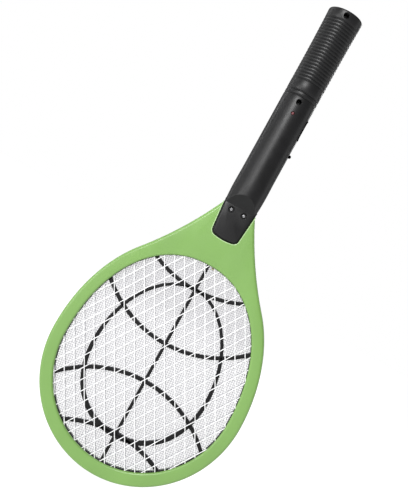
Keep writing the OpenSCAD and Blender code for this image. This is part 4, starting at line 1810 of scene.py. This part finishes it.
@dataclass
class Studio:
    """Camera, soft lights and a pale floor."""

    lens: float = 54.7
    sensor: float = 36.0
    clip: Pair = (0.01, 50.0)
    distance: float = 728.0
    aim_x: float = -11.0
    aim_height: float = 238.4
    lean: float = 28.9
    world: float = 0.26
    aim: Triple = (0.0, 0.0, -0.12)
    lights: tuple[SoftLight, ...] = (
        SoftLight("key", (-0.56, -1.5, 0.6), (0.6, 0.8), 30.0),
        SoftLight("fill", (-1.15, -1.1, -0.3), (0.7, 0.8), 10.0),
        SoftLight("left", (-1.5, -0.1, 0.3), (0.5, 1.4), 2.8),
        SoftLight("edge", (-1.3, 0.75, 0.45), (0.2, 1.2), 3.0),
        SoftLight("right", (1.5, 0.3, 0.1), (0.5, 1.4), 2.4),
        SoftLight("back", (0.5, 1.5, 0.7), (1.0, 1.0), 12.0),
    )
    floor_half: float = 12.0
    floor_drop: float = 0.5
    floor_greys: Pair = (0.3, 0.32)
    floor_noise: float = 300.0
    floor_roughness: float = 0.9
    floor_specular: float = 0.1
    floor_glow: Pair = (0.72, 0.93)

    def camera(self) -> None:
        """Place the camera square to the face and rolled, so that the handle leans right."""
        data = bpy.data.cameras.new("camera")
        data.lens, data.sensor_width = self.lens, self.sensor
        data.clip_start, data.clip_end = self.clip
        a = math.radians(self.lean)
        right = Vector((math.cos(a), 0, math.sin(a)))
        up = Vector((-math.sin(a), 0, math.cos(a)))
        turn = Matrix((right, up, Vector((0, -1, 0)))).transposed().to_4x4()
        spot = Vector((self.aim_x, -self.distance, RIM_BOTTOM + self.aim_height)) * MM
        item = bpy.data.objects.new("camera", data)
        item.matrix_world = Matrix.Translation(spot) @ turn
        bpy.context.scene.collection.objects.link(item)
        bpy.context.scene.camera = item
        log.info("placed the camera")

    def sky(self) -> None:
        """Set a white room that looks brighter than it lights."""
        world = bpy.data.worlds.new("studio")
        world.use_nodes = True
        nodes, links = world.node_tree.nodes, world.node_tree.links
        soft = nodes["Background"]
        soft.inputs["Color"].default_value = (1, 1, 1, 1)
        soft.inputs["Strength"].default_value = self.world
        white = nodes.new("ShaderNodeBackground")
        white.inputs["Color"].default_value = (1, 1, 1, 1)
        mix, path = nodes.new("ShaderNodeMixShader"), nodes.new("ShaderNodeLightPath")
        links.new(path.outputs["Is Camera Ray"], mix.inputs[0])
        links.new(soft.outputs[0], mix.inputs[1])
        links.new(white.outputs[0], mix.inputs[2])
        links.new(mix.outputs[0], nodes["World Output"].inputs[0])
        bpy.context.scene.world = world

    def floor(self) -> None:
        """Lay the floor, which glows less in reflections than it looks."""
        g = Graph("pale_floor")
        seen = g.add("ShaderNodeLightPath").outputs["Is Camera Ray"]
        dark, light = (tuple([grey] * 3) for grey in self.floor_greys)
        g.set(
            Base_Color=g.blend(g.noise(self.floor_noise, 2.0), dark, light),
            Roughness=self.floor_roughness,
            Specular_IOR_Level=self.floor_specular,
            Emission_Color=(1.0, 1.0, 1.0, 1.0),
            Emission_Strength=g.remap(seen, WHOLE, self.floor_glow),
        )
        size, level = self.floor_half, (RIM_BOTTOM - self.floor_drop) * MM
        data = bpy.data.meshes.new("floor")
        data.from_pydata([(-size, -size, level), (size, -size, level), (size, size, level),
                          (-size, size, level)], [], [(0, 1, 2, 3)])
        data.materials.append(g.material)
        floor = bpy.data.objects.new("floor", data)
        bpy.context.scene.collection.objects.link(floor)

    def build(self) -> None:
        """Set the lights, the world and the floor."""
        for light in self.lights:
            light.build(self.aim)
        self.sky()
        bpy.context.scene.view_settings.view_transform = "Standard"
        self.floor()
        log.info("set the studio")


def main() -> None:
    """Build the camera, the studio, the finishes and then each sub-assembly."""
    logging.basicConfig(level=logging.INFO, format="%(name)s: %(message)s")
    studio = Studio()
    studio.camera()
    studio.build()
    finishes = Finishes()
    Head(finishes).build()
    Handle(finishes).build()
    Inside(finishes).build()


if __name__ == "__main__":
    main()
